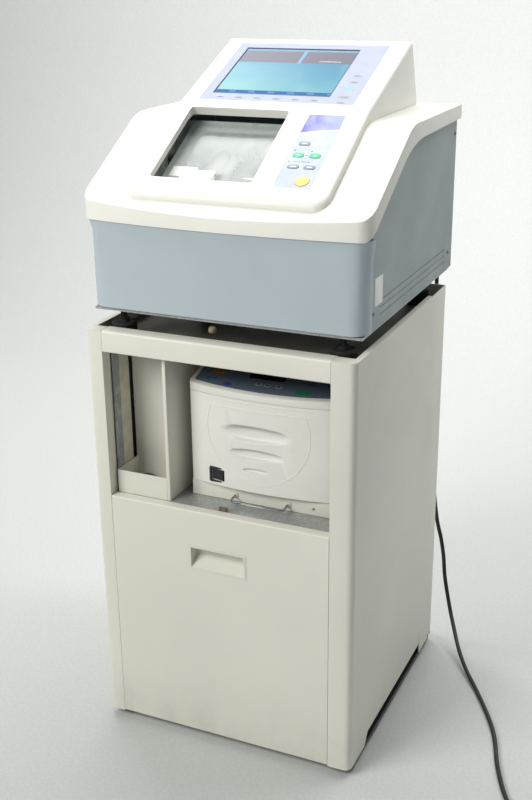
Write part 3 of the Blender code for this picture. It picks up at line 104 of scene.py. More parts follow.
# Mains cord: the route's points are the part's own, and the coil has three turns and a third
CORD_D = 0.008
CORD_EXIT = (0.190, 0.5326, 0.850)
CORD_ROUTE = (
    (0.1900, 0.5480, 0.8496), (0.1910, 0.5660, 0.8436), (0.1920, 0.5800, 0.8270), (0.1930, 0.5860, 0.8000),
    (0.1934, 0.5850, 0.7700), (0.1940, 0.5810, 0.7000), (0.1960, 0.5740, 0.6000), (0.2000, 0.5660, 0.5000),
    (0.2060, 0.5570, 0.4000), (0.2160, 0.5470, 0.3200), (0.2287, 0.5370, 0.2520), (0.2400, 0.5330, 0.2130),
    (0.2480, 0.5300, 0.1740), (0.2545, 0.5250, 0.1280), (0.2720, 0.5060, 0.0740), (0.2920, 0.4740, 0.0440),
    (0.3153, 0.4308, 0.0240), (0.3420, 0.3881, 0.0110), (0.3756, 0.3382, 0.0050), (0.4142, 0.2713, 0.0045),
    (0.4422, 0.2117, 0.0045), (0.4661, 0.1365, 0.0045), (0.4885, 0.0801, 0.0045), (0.5070, 0.0440, 0.0045),
    (0.5260, 0.0060, 0.0045),
)
COIL_R = (0.040, 0.048)
COIL_Z = (0.0045, 0.0125)
PLUG_RUN = 0.0315
PLUG_Z = 0.0135

# Screws on the machine's sides, as y behind the cabinet's front and z
SIDE_SCREWS = ((0.0654, 0.8237), (0.0505, 0.9441), (0.4886, 1.0400), (0.4748, 0.8279))
SCREW_R = 0.0036

# How far a printed mark's foot is sunk and its face stands out of what it is on
PRINT_FOOT = -0.0001
LABEL_TOP = 0.00015
LABEL_EDGE = 0.00005

# Camera
CAMERA_PLACE = (0.7983, -1.5596 + FRONT_Y, 1.3414)
CAMERA_YAW = radians(24.44)
CAMERA_PITCH = radians(20.985)
CAMERA_ROLL = radians(-0.70)
CAMERA_LENS = 52.31


# ---------------------------------------------------------------- camera

def camera():
    data = bpy.data.cameras.new("camera")
    data.lens = CAMERA_LENS
    data.sensor_width = 36
    data.clip_start = 0.05
    ahead = Vector((-sin(CAMERA_YAW) * cos(CAMERA_PITCH), cos(CAMERA_YAW) * cos(CAMERA_PITCH),
                    -sin(CAMERA_PITCH)))
    level = Vector((cos(CAMERA_YAW), sin(CAMERA_YAW), 0))
    upright = level.cross(ahead)
    right = level * cos(CAMERA_ROLL) + upright * sin(CAMERA_ROLL)
    up = upright * cos(CAMERA_ROLL) - level * sin(CAMERA_ROLL)
    obj = bpy.data.objects.new("camera", data)
    turn = Matrix((right, up, -ahead)).transposed().to_4x4()
    obj.matrix_world = Matrix.Translation(CAMERA_PLACE) @ turn
    bpy.context.collection.objects.link(obj)
    bpy.context.scene.camera = obj


# ---------------------------------------------------------------- colours and node materials

def linear(level):
    level /= 255
    return level / 12.92 if level <= 0.04045 else ((level + 0.055) / 1.055) ** 2.4


def colour(red, green, blue):
    """A colour given as screen levels, 0 to 255."""
    return (linear(red), linear(green), linear(blue), 1.0)


def shade(rgba, factor):
    return tuple(min(1.0, level * factor) for level in rgba[:3]) + (1.0,)


class Look:
    """A Principled material whose nodes are added one call at a time."""

    def __init__(self, name, base, roughness=0.5, metallic=0.0, **sockets):
        self.material = bpy.data.materials.new(name)
        self.material.use_nodes = True
        self.tree = self.material.node_tree
        self.shader = self.tree.nodes["Principled BSDF"]
        self.coords = None
        self.grain = None
        self.set("Base Color", base)
        self.set("Roughness", roughness)
        self.set("Metallic", metallic)
        for socket, value in sockets.items():
            self.set(socket.replace("_", " "), value)

    def feed(self, socket, value):
        if isinstance(value, bpy.types.NodeSocket):
            self.tree.links.new(value, socket)
        elif value is not None:
            socket.default_value = value

    def set(self, socket, value):
        self.feed(self.shader.inputs[socket], value)

    def node(self, kind, **settings):
        made = self.tree.nodes.new("ShaderNode" + kind)
        for key, value in settings.items():
            setattr(made, key, value)
        return made

    def place(self, scale=(1, 1, 1)):
        """Object coordinates, squeezed or stretched by scale."""
        if self.coords is None:
            self.coords = self.node("TexCoord").outputs["Object"]
        if scale == (1, 1, 1):
            return self.coords
        mapping = self.node("Mapping")
        self.feed(mapping.inputs["Vector"], self.coords)
        mapping.inputs["Scale"].default_value = scale
        return mapping.outputs[0]

    def axes(self):
        made = self.node("SeparateXYZ")
        self.feed(made.inputs[0], self.place())
        return made.outputs[0], made.outputs[1], made.outputs[2]

    def noise(self, scale, detail=3.0, roughness=0.5, stretch=(1, 1, 1), distortion=0.0):
        made = self.node("TexNoise")
        self.feed(made.inputs["Vector"], self.place(stretch))
        made.inputs["Scale"].default_value = scale
        made.inputs["Detail"].default_value = detail
        made.inputs["Roughness"].default_value = roughness
        made.inputs["Distortion"].default_value = distortion
        return made.outputs[0]

    def cells(self, scale, output="Color", feature="F1"):
        made = self.node("TexVoronoi", feature=feature)
        self.feed(made.inputs["Vector"], self.place())
        made.inputs["Scale"].default_value = scale
        return made.outputs[output]

    def math(self, operation, a, b=None, clamp=False):
        made = self.node("Math", operation=operation, use_clamp=clamp)
        self.feed(made.inputs[0], a)
        self.feed(made.inputs[1], b)
        return made.outputs[0]

    def ramp(self, value, low, high, start=0.0, end=1.0):
        """start where value is at low, end where it is at high, smooth between them."""
        made = self.node("MapRange", interpolation_type="SMOOTHSTEP")
        self.feed(made.inputs["Value"], value)
        for socket, number in zip(("From Min", "From Max", "To Min", "To Max"), (low, high, start, end)):
            made.inputs[socket].default_value = number
        return made.outputs[0]

    def mix(self, factor, a, b, blend="MIX"):
        made = self.node("Mix", data_type="RGBA", blend_type=blend)
        self.feed(made.inputs[0], factor)
        self.feed(made.inputs[6], a)
        self.feed(made.inputs[7], b)
        return made.outputs[2]

    def band(self, value, low, high, soft):
        """1 where value is between low and high, falling to 0 over soft at each side."""
        return self.math("MULTIPLY", self.ramp(value, low - soft, low + soft),
                         self.ramp(value, high - soft, high + soft, 1.0, 0.0))

    def bump(self, height, distance, strength=1.0, under=None):
        made = self.node("Bump")
        made.inputs["Strength"].default_value = strength
        made.inputs["Distance"].default_value = distance
        self.feed(made.inputs["Height"], height)
        self.feed(made.inputs["Normal"], under)
        self.set("Normal", made.outputs[0])
        return made.outputs[0]


def moulded(name, base, roughness=0.42, grain=0.00004, drift=0.05, scuffed=0.0):
    """Moulded plastic: fine grain, a slow drift of tint, faint handling marks."""
    look = Look(name, base, roughness)
    slow = look.ramp(look.noise(3.5, 4), 0.35, 0.70)
    tinted = look.mix(slow, shade(base, 1 - drift), shade(base, 1 + drift * 0.4))
    specks = look.ramp(look.noise(260, 2), 0.66, 0.74, 0.0, 0.30)
    tinted = look.mix(specks, tinted, shade(base, 0.80))
    if scuffed:
        streaks = look.ramp(look.noise(14, 5, 0.65, (1, 6, 2.2), 0.6), 0.60, 0.72, 0.0, scuffed)
        tinted = look.mix(streaks, tinted, shade(base, 0.72))
    look.set("Base Color", tinted)
    look.set("Roughness", look.ramp(look.noise(9, 5), 0.3, 0.7, roughness - 0.05, roughness + 0.09))
    look.grain = look.bump(look.noise(1400, 3), grain)
    return look


def painted(name, base, roughness=0.45, peel=0.00010, drift=0.05, dirt=0.25, dirt_z=(0.0, 0.12)):
    """Powder coat on sheet steel: orange peel, slow drift of tint, grime that gathers low down."""
    look = Look(name, base, roughness)
    slow = look.ramp(look.noise(2.6, 5), 0.35, 0.68)
    tinted = look.mix(slow, shade(base, 1 - drift), shade(base, 1 + drift * 0.4))
    low = look.ramp(look.axes()[2], dirt_z[0], dirt_z[1], 1.0, 0.0)
    patches = look.ramp(look.noise(17, 6, 0.62), 0.38, 0.72)
    grime = look.math("MULTIPLY", look.math("MULTIPLY", low, patches), dirt)
    tinted = look.mix(grime, tinted, shade(base, 0.45))
    marks = look.ramp(look.noise(31, 6, 0.70, (1, 1, 0.35), 0.8), 0.665, 0.735, 0.0, 0.22)
    tinted = look.mix(marks, tinted, shade(base, 0.62))
    look.set("Base Color", tinted)
    look.set("Roughness", look.ramp(look.noise(11, 5), 0.3, 0.7, roughness - 0.06, roughness + 0.10))
    peel_bump = look.bump(look.noise(420, 2), peel)
    look.bump(look.noise(2300, 2), peel * 0.2, under=peel_bump)
    return look


def galvanised(name):
    """Zinc-coated sheet: pale spangles and a dull film."""
    look = Look(name, colour(176, 180, 180), 0.46, 0.60)
    spangle = look.cells(230)
    grey = look.node("RGBToBW")
    look.feed(grey.inputs[0], spangle)
    value = grey.outputs[0]
    tone = look.mix(look.ramp(value, 0.1, 0.9), colour(168, 172, 172), colour(188, 191, 190))
    stains = look.ramp(look.noise(13, 6, 0.65), 0.55, 0.75, 0.0, 0.45)
    look.set("Base Color", look.mix(stains, tone, colour(150, 142, 126)))
    look.set("Roughness", look.ramp(value, 0.0, 1.0, 0.42, 0.52))
    look.bump(look.noise(160, 4), 0.00005)
    return look


def steel(name, level=176, roughness=0.30, along="X", dull=0.10):
    """Machined or brushed steel, its fine lines running along one axis."""
    look = Look(name, colour(level, level + 1, level + 2), roughness, 1.0)
    stretch = {"X": (0.02, 1, 1), "Y": (1, 0.02, 1), "Z": (1, 1, 0.02)}[along]
    lines = look.noise(900, 3, 0.6, stretch)
    haze = look.ramp(look.noise(20, 5), 0.4, 0.7)
    dulled = shade(colour(level, level, level), 1 - dull * 2)
    tone = look.mix(haze, colour(level, level + 1, level + 2), dulled)
    look.set("Base Color", tone)
    look.set("Roughness", look.ramp(lines, 0.25, 0.75, roughness - 0.08, roughness + dull))
    look.bump(lines, 0.00003)
    return look


def rubber(name, level=24, roughness=0.72):
    look = Look(name, colour(level, level, level), roughness)
    dust = look.ramp(look.noise(38, 6, 0.65), 0.50, 0.75, 0.0, 0.45)
    look.set("Base Color", look.mix(dust, colour(level, level, level), colour(78, 76, 72)))
    look.bump(look.noise(700, 4), 0.00008)
    return look


def film(name, base, roughness=0.36, mottle=0.03):
    """A printed polyester film over a panel: very fine emboss, faint rubbing."""
    look = Look(name, base, roughness)
    worn = look.ramp(look.noise(24, 5), 0.4, 0.7)
    look.set("Base Color", look.mix(worn, shade(base, 1 - mottle), shade(base, 1 + mottle)))
    look.set("Roughness", look.ramp(look.noise(60, 4), 0.35, 0.7, roughness - 0.06, roughness + 0.08))
    look.bump(look.noise(2600, 2), 0.00002)
    return look


def slope_coordinates(look, y0, z0, angle):
    """x, and s up a slope that starts at (y0, z0), from a material's object coordinates."""
    x, y, z = look.axes()
    along = look.math("MULTIPLY", look.math("SUBTRACT", y, y0), cos(angle))
    rise = look.math("MULTIPLY", look.math("SUBTRACT", z, z0), sin(angle))
    return x, look.math("ADD", along, rise)


def lit_screen():
    """The lit screen: light title row, two brown fields, a pale work area and a blue foot bar."""
    look = Look("lcd_picture", colour(120, 165, 180), 0.16, Coat_Weight=0.3)
    x, s = slope_coordinates(look, FRONT_Y + BEND_Y, BEND_Z, DISPLAY_SLOPE)
    upward = look.ramp(s, SCREEN_S[0], SCREEN_S[1])
    across = look.ramp(x, SCREEN_X[0], SCREEN_X[1])
    field = look.mix(upward, colour(150, 196, 200), colour(128, 168, 198))
    field = look.mix(across, field, look.mix(upward, colour(104, 160, 178), colour(92, 136, 170)))
    glow = look.ramp(look.noise(9, 2), 0.35, 0.7, 0.0, 0.25)
    field = look.mix(glow, field, colour(176, 208, 206))
    bar = look.band(s, 0.0425, 0.0525, 0.0006)
    field = look.mix(bar, field, colour(58, 104, 158))
    keys = look.math("FRACT", look.math("MULTIPLY", x, 28.0))
    marks = look.math("MULTIPLY", look.band(keys, 0.32, 0.66, 0.02), look.band(s, 0.0455, 0.0500, 0.0005))
    field = look.mix(look.math("MULTIPLY", marks, 0.35), field, colour(150, 190, 220))
    brown = look.mix(across, colour(140, 142, 152), colour(124, 122, 134))
    rows = look.ramp(look.math("FRACT", look.math("MULTIPLY", s, 95.0)), 0.45, 0.55, 0.0, 0.12)
    brown = look.mix(rows, brown, colour(138, 116, 108))
    field = look.mix(look.band(s, 0.1480, 0.1880, 0.0012), field, brown)
    split = look.math("MULTIPLY", look.band(x, -0.0090, -0.0030, 0.0010),
                      look.band(s, 0.1460, 0.1900, 0.0012))
    field = look.mix(split, field, colour(132, 176, 206))
    digits = look.noise(900, 1)
    written = look.math("MULTIPLY", look.band(s, 0.1535, 0.1575, 0.0006), look.band(x, 0.030, 0.070, 0.001))
    written = look.math("MULTIPLY", written, look.ramp(digits, 0.48, 0.52))
    field = look.mix(written, field, colour(200, 200, 196))
    title = look.band(s, 0.1890, 0.1945, 0.0010)
    row = look.mix(look.ramp(digits, 0.4, 0.6), colour(150, 176, 190), colour(120, 150, 172))
    field = look.mix(title, field, row)
    edge = look.math("MAXIMUM", look.ramp(s, SCREEN_S[1] - 0.0030, SCREEN_S[1] - 0.0015),
                     look.ramp(x, SCREEN_X[0] + 0.0008, SCREEN_X[0] + 0.0020, 1.0, 0.0))
    field = look.mix(edge, field, colour(34, 46, 66))
    look.set("Base Color", field)
    look.set("Emission Color", field)
    look.set("Emission Strength", 0.20)
    return look


def hazed_pane():
    """Clear acrylic clouded by grinding mist: streaks down the slope, cleaner where it is wiped."""
    look = Look("hazed_acrylic", colour(226, 232, 230), 0.12, IOR=1.49)
    x, s = slope_coordinates(look, FRONT_Y + CONSOLE_Y0, CONSOLE_Z0, SLOPE)
    cloud = look.ramp(look.noise(6, 3, 0.5, distortion=0.2), 0.20, 0.85)
    streak = look.ramp(look.noise(30, 4, 0.5, (1, 0.12, 0.12)), 0.35, 0.80)
    low = look.ramp(s, 0.03, 0.16, 1.0, 0.35)
    haze = look.math("MULTIPLY", look.math("ADD", look.math("MULTIPLY", cloud, 0.6),
                                           look.math("MULTIPLY", streak, 0.5)), low)
    look.set("Alpha", look.ramp(haze, 0.0, 1.0, 0.30, 0.58))
    look.set("Roughness", look.ramp(haze, 0.0, 1.0, 0.10, 0.55))
    look.set("Base Color", look.mix(haze, colour(196, 206, 203), colour(234, 237, 234)))
    look.bump(look.noise(240, 3), 0.00003)
    return look


def wet_tub():
    """The chamber's walls: grey-white plastic under slurry splashes."""
    look = Look("chamber_wall", colour(176, 182, 178), 0.40)
    splash = look.ramp(look.noise(28, 8, 0.7, distortion=1.2), 0.42, 0.66)
    fine = look.ramp(look.noise(210, 5, 0.7), 0.48, 0.62, 0.0, 0.6)
    tone = look.mix(splash, colour(158, 165, 160), colour(190, 195, 190))
    look.set("Base Color", look.mix(fine, tone, colour(214, 217, 212)))
    look.set("Roughness", look.ramp(splash, 0.0, 1.0, 0.22, 0.62))
    look.bump(look.noise(180, 6, 0.7), 0.0001, 0.4)
    return look


def cloudy_tank():
    look = Look("tank_plastic", colour(214, 217, 212), 0.42, Subsurface_Weight=0.15)
    line = look.ramp(look.axes()[2], 0.20, 0.235)
    tone = look.mix(line, colour(188, 190, 180), colour(222, 224, 220))
    stain = look.ramp(look.noise(19, 6), 0.45, 0.75, 0.0, 0.5)
    look.set("Base Color", look.mix(stain, tone, colour(176, 172, 156)))
    look.bump(look.noise(500, 3), 0.00005)
    return look


def scooped_plastic():
    """The tracer's moulding: a bump shades the three scoops out to their full width."""
    look = moulded("tracer_plastic", colour(232, 231, 224), 0.42, scuffed=0.25)
    x, _, z = look.axes()
    depth = 0.0
    for mid_x, mid_z, half_w, half_h in SCOOPS:
        across = look.math("DIVIDE", look.math("SUBTRACT", x, mid_x), half_w)
        rise = look.math("DIVIDE", look.math("SUBTRACT", z, mid_z), half_h)
        off = look.math("ADD", look.math("MULTIPLY", across, across), look.math("MULTIPLY", rise, rise))
        depth = look.math("ADD", depth, look.ramp(off, 0.0, 1.0, -half_h, 0.0))
    look.bump(depth, 0.35, under=look.grain)
    return look


def post_look():
    """The bay's left post: zinc in front, cream paint behind it."""
    look = Look("post_sheet", colour(150, 156, 158), 0.45)
    y = look.axes()[1]
    behind = look.ramp(y, FRONT_Y + 0.0440, FRONT_Y + 0.0450)
    mottle = look.ramp(look.noise(60, 5), 0.35, 0.7)
    zinc = look.mix(mottle, colour(142, 150, 154), colour(172, 178, 180))
    paint = look.mix(mottle, colour(196, 192, 176), colour(210, 206, 192))
    look.set("Base Color", look.mix(behind, zinc, paint))
    look.set("Metallic", look.ramp(y, FRONT_Y + 0.0440, FRONT_Y + 0.0450, 0.55, 0.0))
    look.bump(look.noise(300, 3), 0.00005)
    return look


def grit():
    """Diamond grit wheels: bronze-grey bands across the stack."""
    look = Look("diamond_grit", colour(150, 140, 122), 0.8, 0.3)
    x = look.axes()[0]
    bands = look.ramp(look.math("FRACT", look.math("MULTIPLY", x, 55.0)), 0.45, 0.55)
    tone = look.mix(bands, colour(146, 134, 112), colour(112, 112, 108))
    sparkle = look.ramp(look.cells(1800, "Distance"), 0.05, 0.30)
    look.set("Base Color", look.mix(sparkle, colour(206, 200, 186), tone))
    look.bump(look.cells(1500, "Distance"), 0.0002)
    return look


def hose_look():
    look = Look("hose_rubber", colour(150, 150, 144), 0.55)
    rings = look.ramp(look.math("FRACT", look.math("MULTIPLY", look.axes()[2], 160.0)), 0.3, 0.7)
    # The grooves between the rings are painted darker than the ridges: painted shade in the corrugations,
    # on top of the bump.
    look.set("Base Color", look.mix(rings, colour(128, 128, 122), colour(160, 160, 154)))
    look.bump(rings, 0.0004)
    return look


def badge_print():
    """The strip's film: blue-grey, with a violet head fading left to right above a white curved line."""
    base = colour(190, 200, 216)
    look = Look("strip_film", base, 0.34)
    x, s = slope_coordinates(look, FRONT_Y + CONSOLE_Y0, CONSOLE_Z0, SLOPE)
    worn = look.ramp(look.noise(24, 5), 0.4, 0.7)
    plain = look.mix(worn, shade(base, 0.97), shade(base, 1.02))
    u = look.ramp(x, STRIP_X[0], STRIP_X[1])
    straight = look.math("DIVIDE", look.math("SUBTRACT", x, STRIP_X[0]), STRIP_X[1] - STRIP_X[0])
    curve = look.math("ADD", 0.1385, look.math("MULTIPLY", look.math("POWER", straight, 0.55), 0.0140))
    above = look.math("SUBTRACT", s, curve)
    violet = look.mix(u, colour(112, 112, 196), colour(156, 166, 226))
    tone = look.mix(look.ramp(above, 0.0006, 0.0014), plain, violet)
    line = look.band(above, -0.0016, 0.0004, 0.0005)
    look.set("Base Color", look.mix(line, tone, colour(246, 247, 248)))
    look.set("Roughness", look.ramp(look.noise(60, 4), 0.35, 0.7, 0.30, 0.44))
    look.bump(look.noise(2600, 2), 0.00002)
    return look


LOOKS = {
    "cream_paint": painted("cream_powder_coat", colour(226, 224, 212)),
    "white_plastic": moulded("cover_plastic", colour(240, 239, 230), 0.40),
    "blue_grey_plastic": moulded("skirt_plastic", colour(184, 196, 202), 0.40),
    "side_paint": painted("side_paint", colour(160, 170, 172), 0.50, dirt=0.30, dirt_z=(0.78, 0.90)),
    "galvanised": galvanised("zinc_sheet"),
    "steel": steel("bare_steel"),
    "chrome": steel("polished_steel", 205, 0.14, "X", 0.06),
    "black_rubber": rubber("black_rubber"),
    "black_plastic": moulded("black_plastic", colour(34, 34, 35), 0.40, 0.00006),
    "dark_panel": film("tracer_film", colour(98, 112, 128)),
    "pale_panel": film("panel_film", colour(180, 187, 205)),
    "screen": lit_screen(),
    "clear": hazed_pane(),
    "key_grey": moulded("key_grey", colour(150, 156, 170), 0.42, 0.00002),
    "key_green": moulded("key_green", colour(92, 208, 154), 0.42, 0.00002),
    "key_yellow": moulded("key_yellow", colour(248, 220, 116), 0.42, 0.00002),
    "motor_grey": painted("motor_paint", colour(84, 88, 92), 0.5, 0.0002),
    "abrasive": grit(),
    "tank_white": cloudy_tank(),
    "hose_grey": hose_look(),
}
NODE_LOOKS = {
    "control_overlay": badge_print(),
    "chamber_tub": wet_tub(),
    "tracer_body": scooped_plastic(),
    "tracer_top_cover": moulded("tracer_top_plastic", colour(232, 231, 224), 0.42),
    "drawer_pull": moulded("pull_plastic", colour(224, 222, 210), 0.45),
    # The top plate's grey-brown is darker than its own paint: partly its real colour, partly painted shade
    # from under the machine.
    "cabinet_top_plate": painted("top_plate_paint_with_shade", colour(112, 108, 98)),
    "frame_post_left": post_look(),
    "tracer_wire_handle": steel("handle_wire", 190, 0.22, "X"),
    "cabinet_front_rail": painted("rail_powder_coat", colour(230, 228, 216)),
}
WHITE_PRINT = film("white_print", colour(238, 240, 240))
LABEL = film("label_paper", colour(240, 240, 234), 0.5)
DARK_PRINT = film("dark_print", colour(72, 78, 92))


# ---------------------------------------------------------------- shapes

class Plane:
    """A flat face to lay things on: right and up along it, and out of it."""

    def __init__(self, origin, right, up):
        self.origin = Vector(origin)
        self.right = Vector(right)
        self.up = Vector(up)
        self.out = self.right.cross(self.up)

    def point(self, x, s, h=0.0):
        return self.origin + self.right * x + self.up * s + self.out * h


def slope(y0, z0, angle):
    return Plane((0, FRONT_Y + y0, z0), (1, 0, 0), (0, cos(angle), sin(angle)))


CONSOLE = slope(CONSOLE_Y0, CONSOLE_Z0, SLOPE)
DISPLAY = slope(BEND_Y, BEND_Z, DISPLAY_SLOPE)
KEYPAD = slope(KEYPAD_Y0, KEYPAD_Z0, KEYPAD_SLOPE)
RIGHT_SIDE = Plane((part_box("right_side_panel")[1][0], FRONT_Y, 0), (0, 1, 0), (0, 0, 1))
LEFT_SIDE = Plane((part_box("left_side_panel")[0][0], FRONT_Y, 0), (0, -1, 0), (0, 0, 1))
REAR = Plane((0, MACHINE_BACK_Y, 0), (-1, 0, 0), (0, 0, 1))
CABINET_BACK = Plane((0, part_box("cabinet_back_panel")[1][1], 0), (-1, 0, 0), (0, 0, 1))


def add(obj, look, body=ROOT):
    """Link a piece, give it its look and let it ride its body."""
    if obj.name not in bpy.context.collection.objects:
        bpy.context.collection.objects.link(obj)
    obj.data.materials.clear()
    obj.data.materials.append(look.material)
    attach(obj, body)
    return obj


def mesh_object(name, bm, sharp=35):
    bmesh.ops.recalc_face_normals(bm, faces=bm.faces)
    mesh = bpy.data.meshes.new(name)
    bm.to_mesh(mesh)
    bm.free()
    mesh.polygons.foreach_set("use_smooth", [True] * len(mesh.polygons))
    mesh.set_sharp_from_angle(angle=radians(sharp))
    return bpy.data.objects.new(name, mesh)


def round_box(x0, s0, x1, s1, r, steps=5):
    """The outline of a rectangle with round corners."""
    outline = []
    corners = ((x1 - r, s1 - r, 0), (x0 + r, s1 - r, 90), (x0 + r, s0 + r, 180), (x1 - r, s0 + r, 270))
    for cx, cs, start in corners:
        for k in range(steps + 1):
            angle = radians(start + 90 * k / steps)
            outline.append((cx + r * cos(angle), cs + r * sin(angle)))
    return outline


def oval(x, s, half_w, half_l, steps=28, power=2.4):
    """A superellipse: 2 is a plain ellipse, more is squarer."""
    outline = []
    for k in range(steps):
        c, d = cos(2 * pi * k / steps), sin(2 * pi * k / steps)
        outline.append((x + half_w * abs(c) ** (2 / power) * (1 if c >= 0 else -1),
                        s + half_l * abs(d) ** (2 / power) * (1 if d >= 0 else -1)))
    return outline


def plate_into(bm, plane, outline, low, high, edge):
    """A thin slab on a plane, its top edge rounded over by edge."""
    cx = sum(x for x, _ in outline) / len(outline)
    cs = sum(s for _, s in outline) / len(outline)
    reach = max(max(abs(x - cx), abs(s - cs)) for x, s in outline)
    rings = []
    for h, shrink in ((low, 0.0), (high - edge, 0.0), (high - edge * 0.3, edge * 0.3), (high, edge)):
        scale = 1 - shrink / reach
        rings.append([bm.verts.new(plane.point(cx + (x - cx) * scale, cs + (s - cs) * scale, h))
                      for x, s in outline])
    count = len(outline)
    for lower, upper in zip(rings, rings[1:]):
        for k in range(count):
            bm.faces.new((lower[k], lower[(k + 1) % count], upper[(k + 1) % count], upper[k]))
    bm.faces.new(rings[0][::-1])
    bm.faces.new(rings[-1])


def plates(name, plane, outlines, low, high, look, body=ROOT, edge=0.0002):
    bm = bmesh.new()
    for outline in outlines:
        plate_into(bm, plane, outline, low, high, edge)
    return add(mesh_object(name, bm), look, body)


def frame_plate(name, plane, outer, inner, profile, look, body=ROOT):
    """A rim between two outlines of as many points; profile lists (share of the way in, height)."""
    bm = bmesh.new()
    rings = []
    for share, h in profile:
        rings.append([bm.verts.new(plane.point(x0 + (x1 - x0) * share, s0 + (s1 - s0) * share, h))
                      for (x0, s0), (x1, s1) in zip(outer, inner)])
    count = len(outer)
    for lower, upper in zip(rings, rings[1:] + rings[:1]):
        for k in range(count):
            bm.faces.new((lower[k], lower[(k + 1) % count], upper[(k + 1) % count], upper[k]))
    return add(mesh_object(name, bm), look, body)


def dome_into(bm, plane, x, s, half_w, half_l, height, base=0.0, steps=28, rings=6, power=2.4):
    """A low pillow with a superellipse foot."""
    loops = []
    for k in range(rings):
        turn = (pi / 2) * k / rings
        rim = oval(x, s, half_w * cos(turn), half_l * cos(turn), steps, power)
        loops.append([bm.verts.new(plane.point(px, ps, base + height * sin(turn))) for px, ps in rim])
    foot = oval(x, s, half_w, half_l, steps, power)
    loops.insert(0, [bm.verts.new(plane.point(px, ps, base - 0.0003)) for px, ps in foot])
    top = bm.verts.new(plane.point(x, s, base + height))
    for lower, upper in zip(loops, loops[1:]):
        for k in range(steps):
            bm.faces.new((lower[k], lower[(k + 1) % steps], upper[(k + 1) % steps], upper[k]))
    for k in range(steps):
        bm.faces.new((loops[-1][k], loops[-1][(k + 1) % steps], top))
    bm.faces.new(loops[0][::-1])


def domes(name, plane, spots, height, look, body=ROOT, base=0.0, power=2.4):
    """Each spot is x, s, half width, half length."""
    bm = bmesh.new()
    for x, s, half_w, half_l in spots:
        dome_into(bm, plane, x, s, half_w, half_l, height, base, power=power)
    return add(mesh_object(name, bm, 60), look, body)


def screw_into(bm, plane, x, s, radius, base=0.0):
    """A pan-head screw with a six-sided socket."""
    rings = [(radius, -0.0002, 24), (radius, radius * 0.20, 24), (radius * 0.93, radius * 0.38, 24),
             (radius * 0.74, radius * 0.52, 24), (radius * 0.48, radius * 0.58, 24),
             (radius * 0.44, radius * 0.54, 24), (radius * 0.40, radius * 0.14, 24)]
    loops = []
    for k, (r, h, steps) in enumerate(rings):
        loop = []
        for j in range(steps):
            angle = 2 * pi * j / steps
            flat = cos(pi / 6) / cos((angle % (pi / 3)) - pi / 6) if k >= len(rings) - 2 else 1.0
            reach = r * flat
            place = plane.point(x + reach * cos(angle), s + reach * sin(angle), base + h)
            loop.append(bm.verts.new(place))
        loops.append(loop)
    for lower, upper in zip(loops, loops[1:]):
        for j in range(24):
            bm.faces.new((lower[j], lower[(j + 1) % 24], upper[(j + 1) % 24], upper[j]))
    bm.faces.new(loops[0][::-1])
    bm.faces.new(loops[-1])


def screws(name, plane, spots, radius, look, body=ROOT, base=0.0):
    bm = bmesh.new()
    for x, s in spots:
        screw_into(bm, plane, x, s, radius, base)
    return add(mesh_object(name, bm), look, body)


def tube(name, points, radius, look, body=ROOT, sides=3):
    data = bpy.data.curves.new(name, "CURVE")
    data.dimensions = "3D"
    data.bevel_depth = radius
    data.bevel_resolution = sides
    data.use_fill_caps = True
    spline = data.splines.new("POLY")
    spline.points.add(len(points) - 1)
    for place, point in zip(spline.points, points):
        place.co = (*point, 1)
    spline.use_smooth = True
    return add(bpy.data.objects.new(name, data), look, body)


def smooth_route(route, step):
    """Points along a Catmull-Rom curve through the route's own points."""
    route = [Vector(p) for p in route]
    padded = [2 * route[0] - route[1]] + route + [2 * route[-1] - route[-2]]
    points = []
    for a, b, c, d in zip(padded, padded[1:], padded[2:], padded[3:]):
        count = max(2, round((c - b).length / step))
        for k in range(count):
            t = k / count
            points.append(0.5 * (2 * b + (c - a) * t + (2 * a - 5 * b + 4 * c - d) * t ** 2
                                 + (3 * b - a - 3 * c + d) * t ** 3))
    return points + [route[-1]]


# ---------------------------------------------------------------- CAD nodes

def smooth_by_angle():
    """A node group that shades a welded mesh smooth, apart from edges sharper than 35 degrees."""
    group = bpy.data.node_groups.new("smooth_by_angle", "GeometryNodeTree")
    group.interface.new_socket("Geometry", in_out="INPUT", socket_type="NodeSocketGeometry")
    group.interface.new_socket("Geometry", in_out="OUTPUT", socket_type="NodeSocketGeometry")
    nodes, links = group.nodes, group.links
    start, end = nodes.new("NodeGroupInput"), nodes.new("NodeGroupOutput")
    faces = nodes.new("GeometryNodeSetShadeSmooth")
    edges = nodes.new("GeometryNodeSetShadeSmooth")
    edges.domain = "EDGE"
    angle = nodes.new("GeometryNodeInputMeshEdgeAngle")
    gentle = nodes.new("FunctionNodeCompare")
    gentle.operation = "LESS_THAN"
    links.new(angle.outputs[0], gentle.inputs[0])
    gentle.inputs[1].default_value = radians(35)
    links.new(start.outputs[0], faces.inputs["Geometry"])
    faces.inputs["Shade Smooth"].default_value = True
    links.new(faces.outputs[0], edges.inputs["Geometry"])
    links.new(gentle.outputs[0], edges.inputs["Shade Smooth"])
    links.new(edges.outputs[0], end.inputs[0])
    return group


def dress_cad():
    """Every CAD node is shaded smooth and gets the look of its slot, or one of its own."""
    group = smooth_by_angle()
    for part in frame["record"]["subparts"]:
        node, slot = part["node"], part["material_slot"]
        obj = frame["nodes"][node]
        normals = obj.data.attributes.get("custom_normal")
        if normals:
            obj.data.attributes.remove(normals)
        weld = obj.modifiers.new("weld", "WELD")
        weld.merge_threshold = 0.00001
        obj.modifiers.new("smooth", "NODES").node_group = group
        obj.data.materials.clear()
        obj.data.materials.append(NODE_LOOKS.get(node, LOOKS[slot]).material)


# ---------------------------------------------------------------- mains cord

def smooth_step(value, low, high):
    """0 below low, 1 above high, smooth between."""
    t = min(1.0, max(0.0, (value - low) / (high - low)))
    return t * t * (3 - 2 * t)


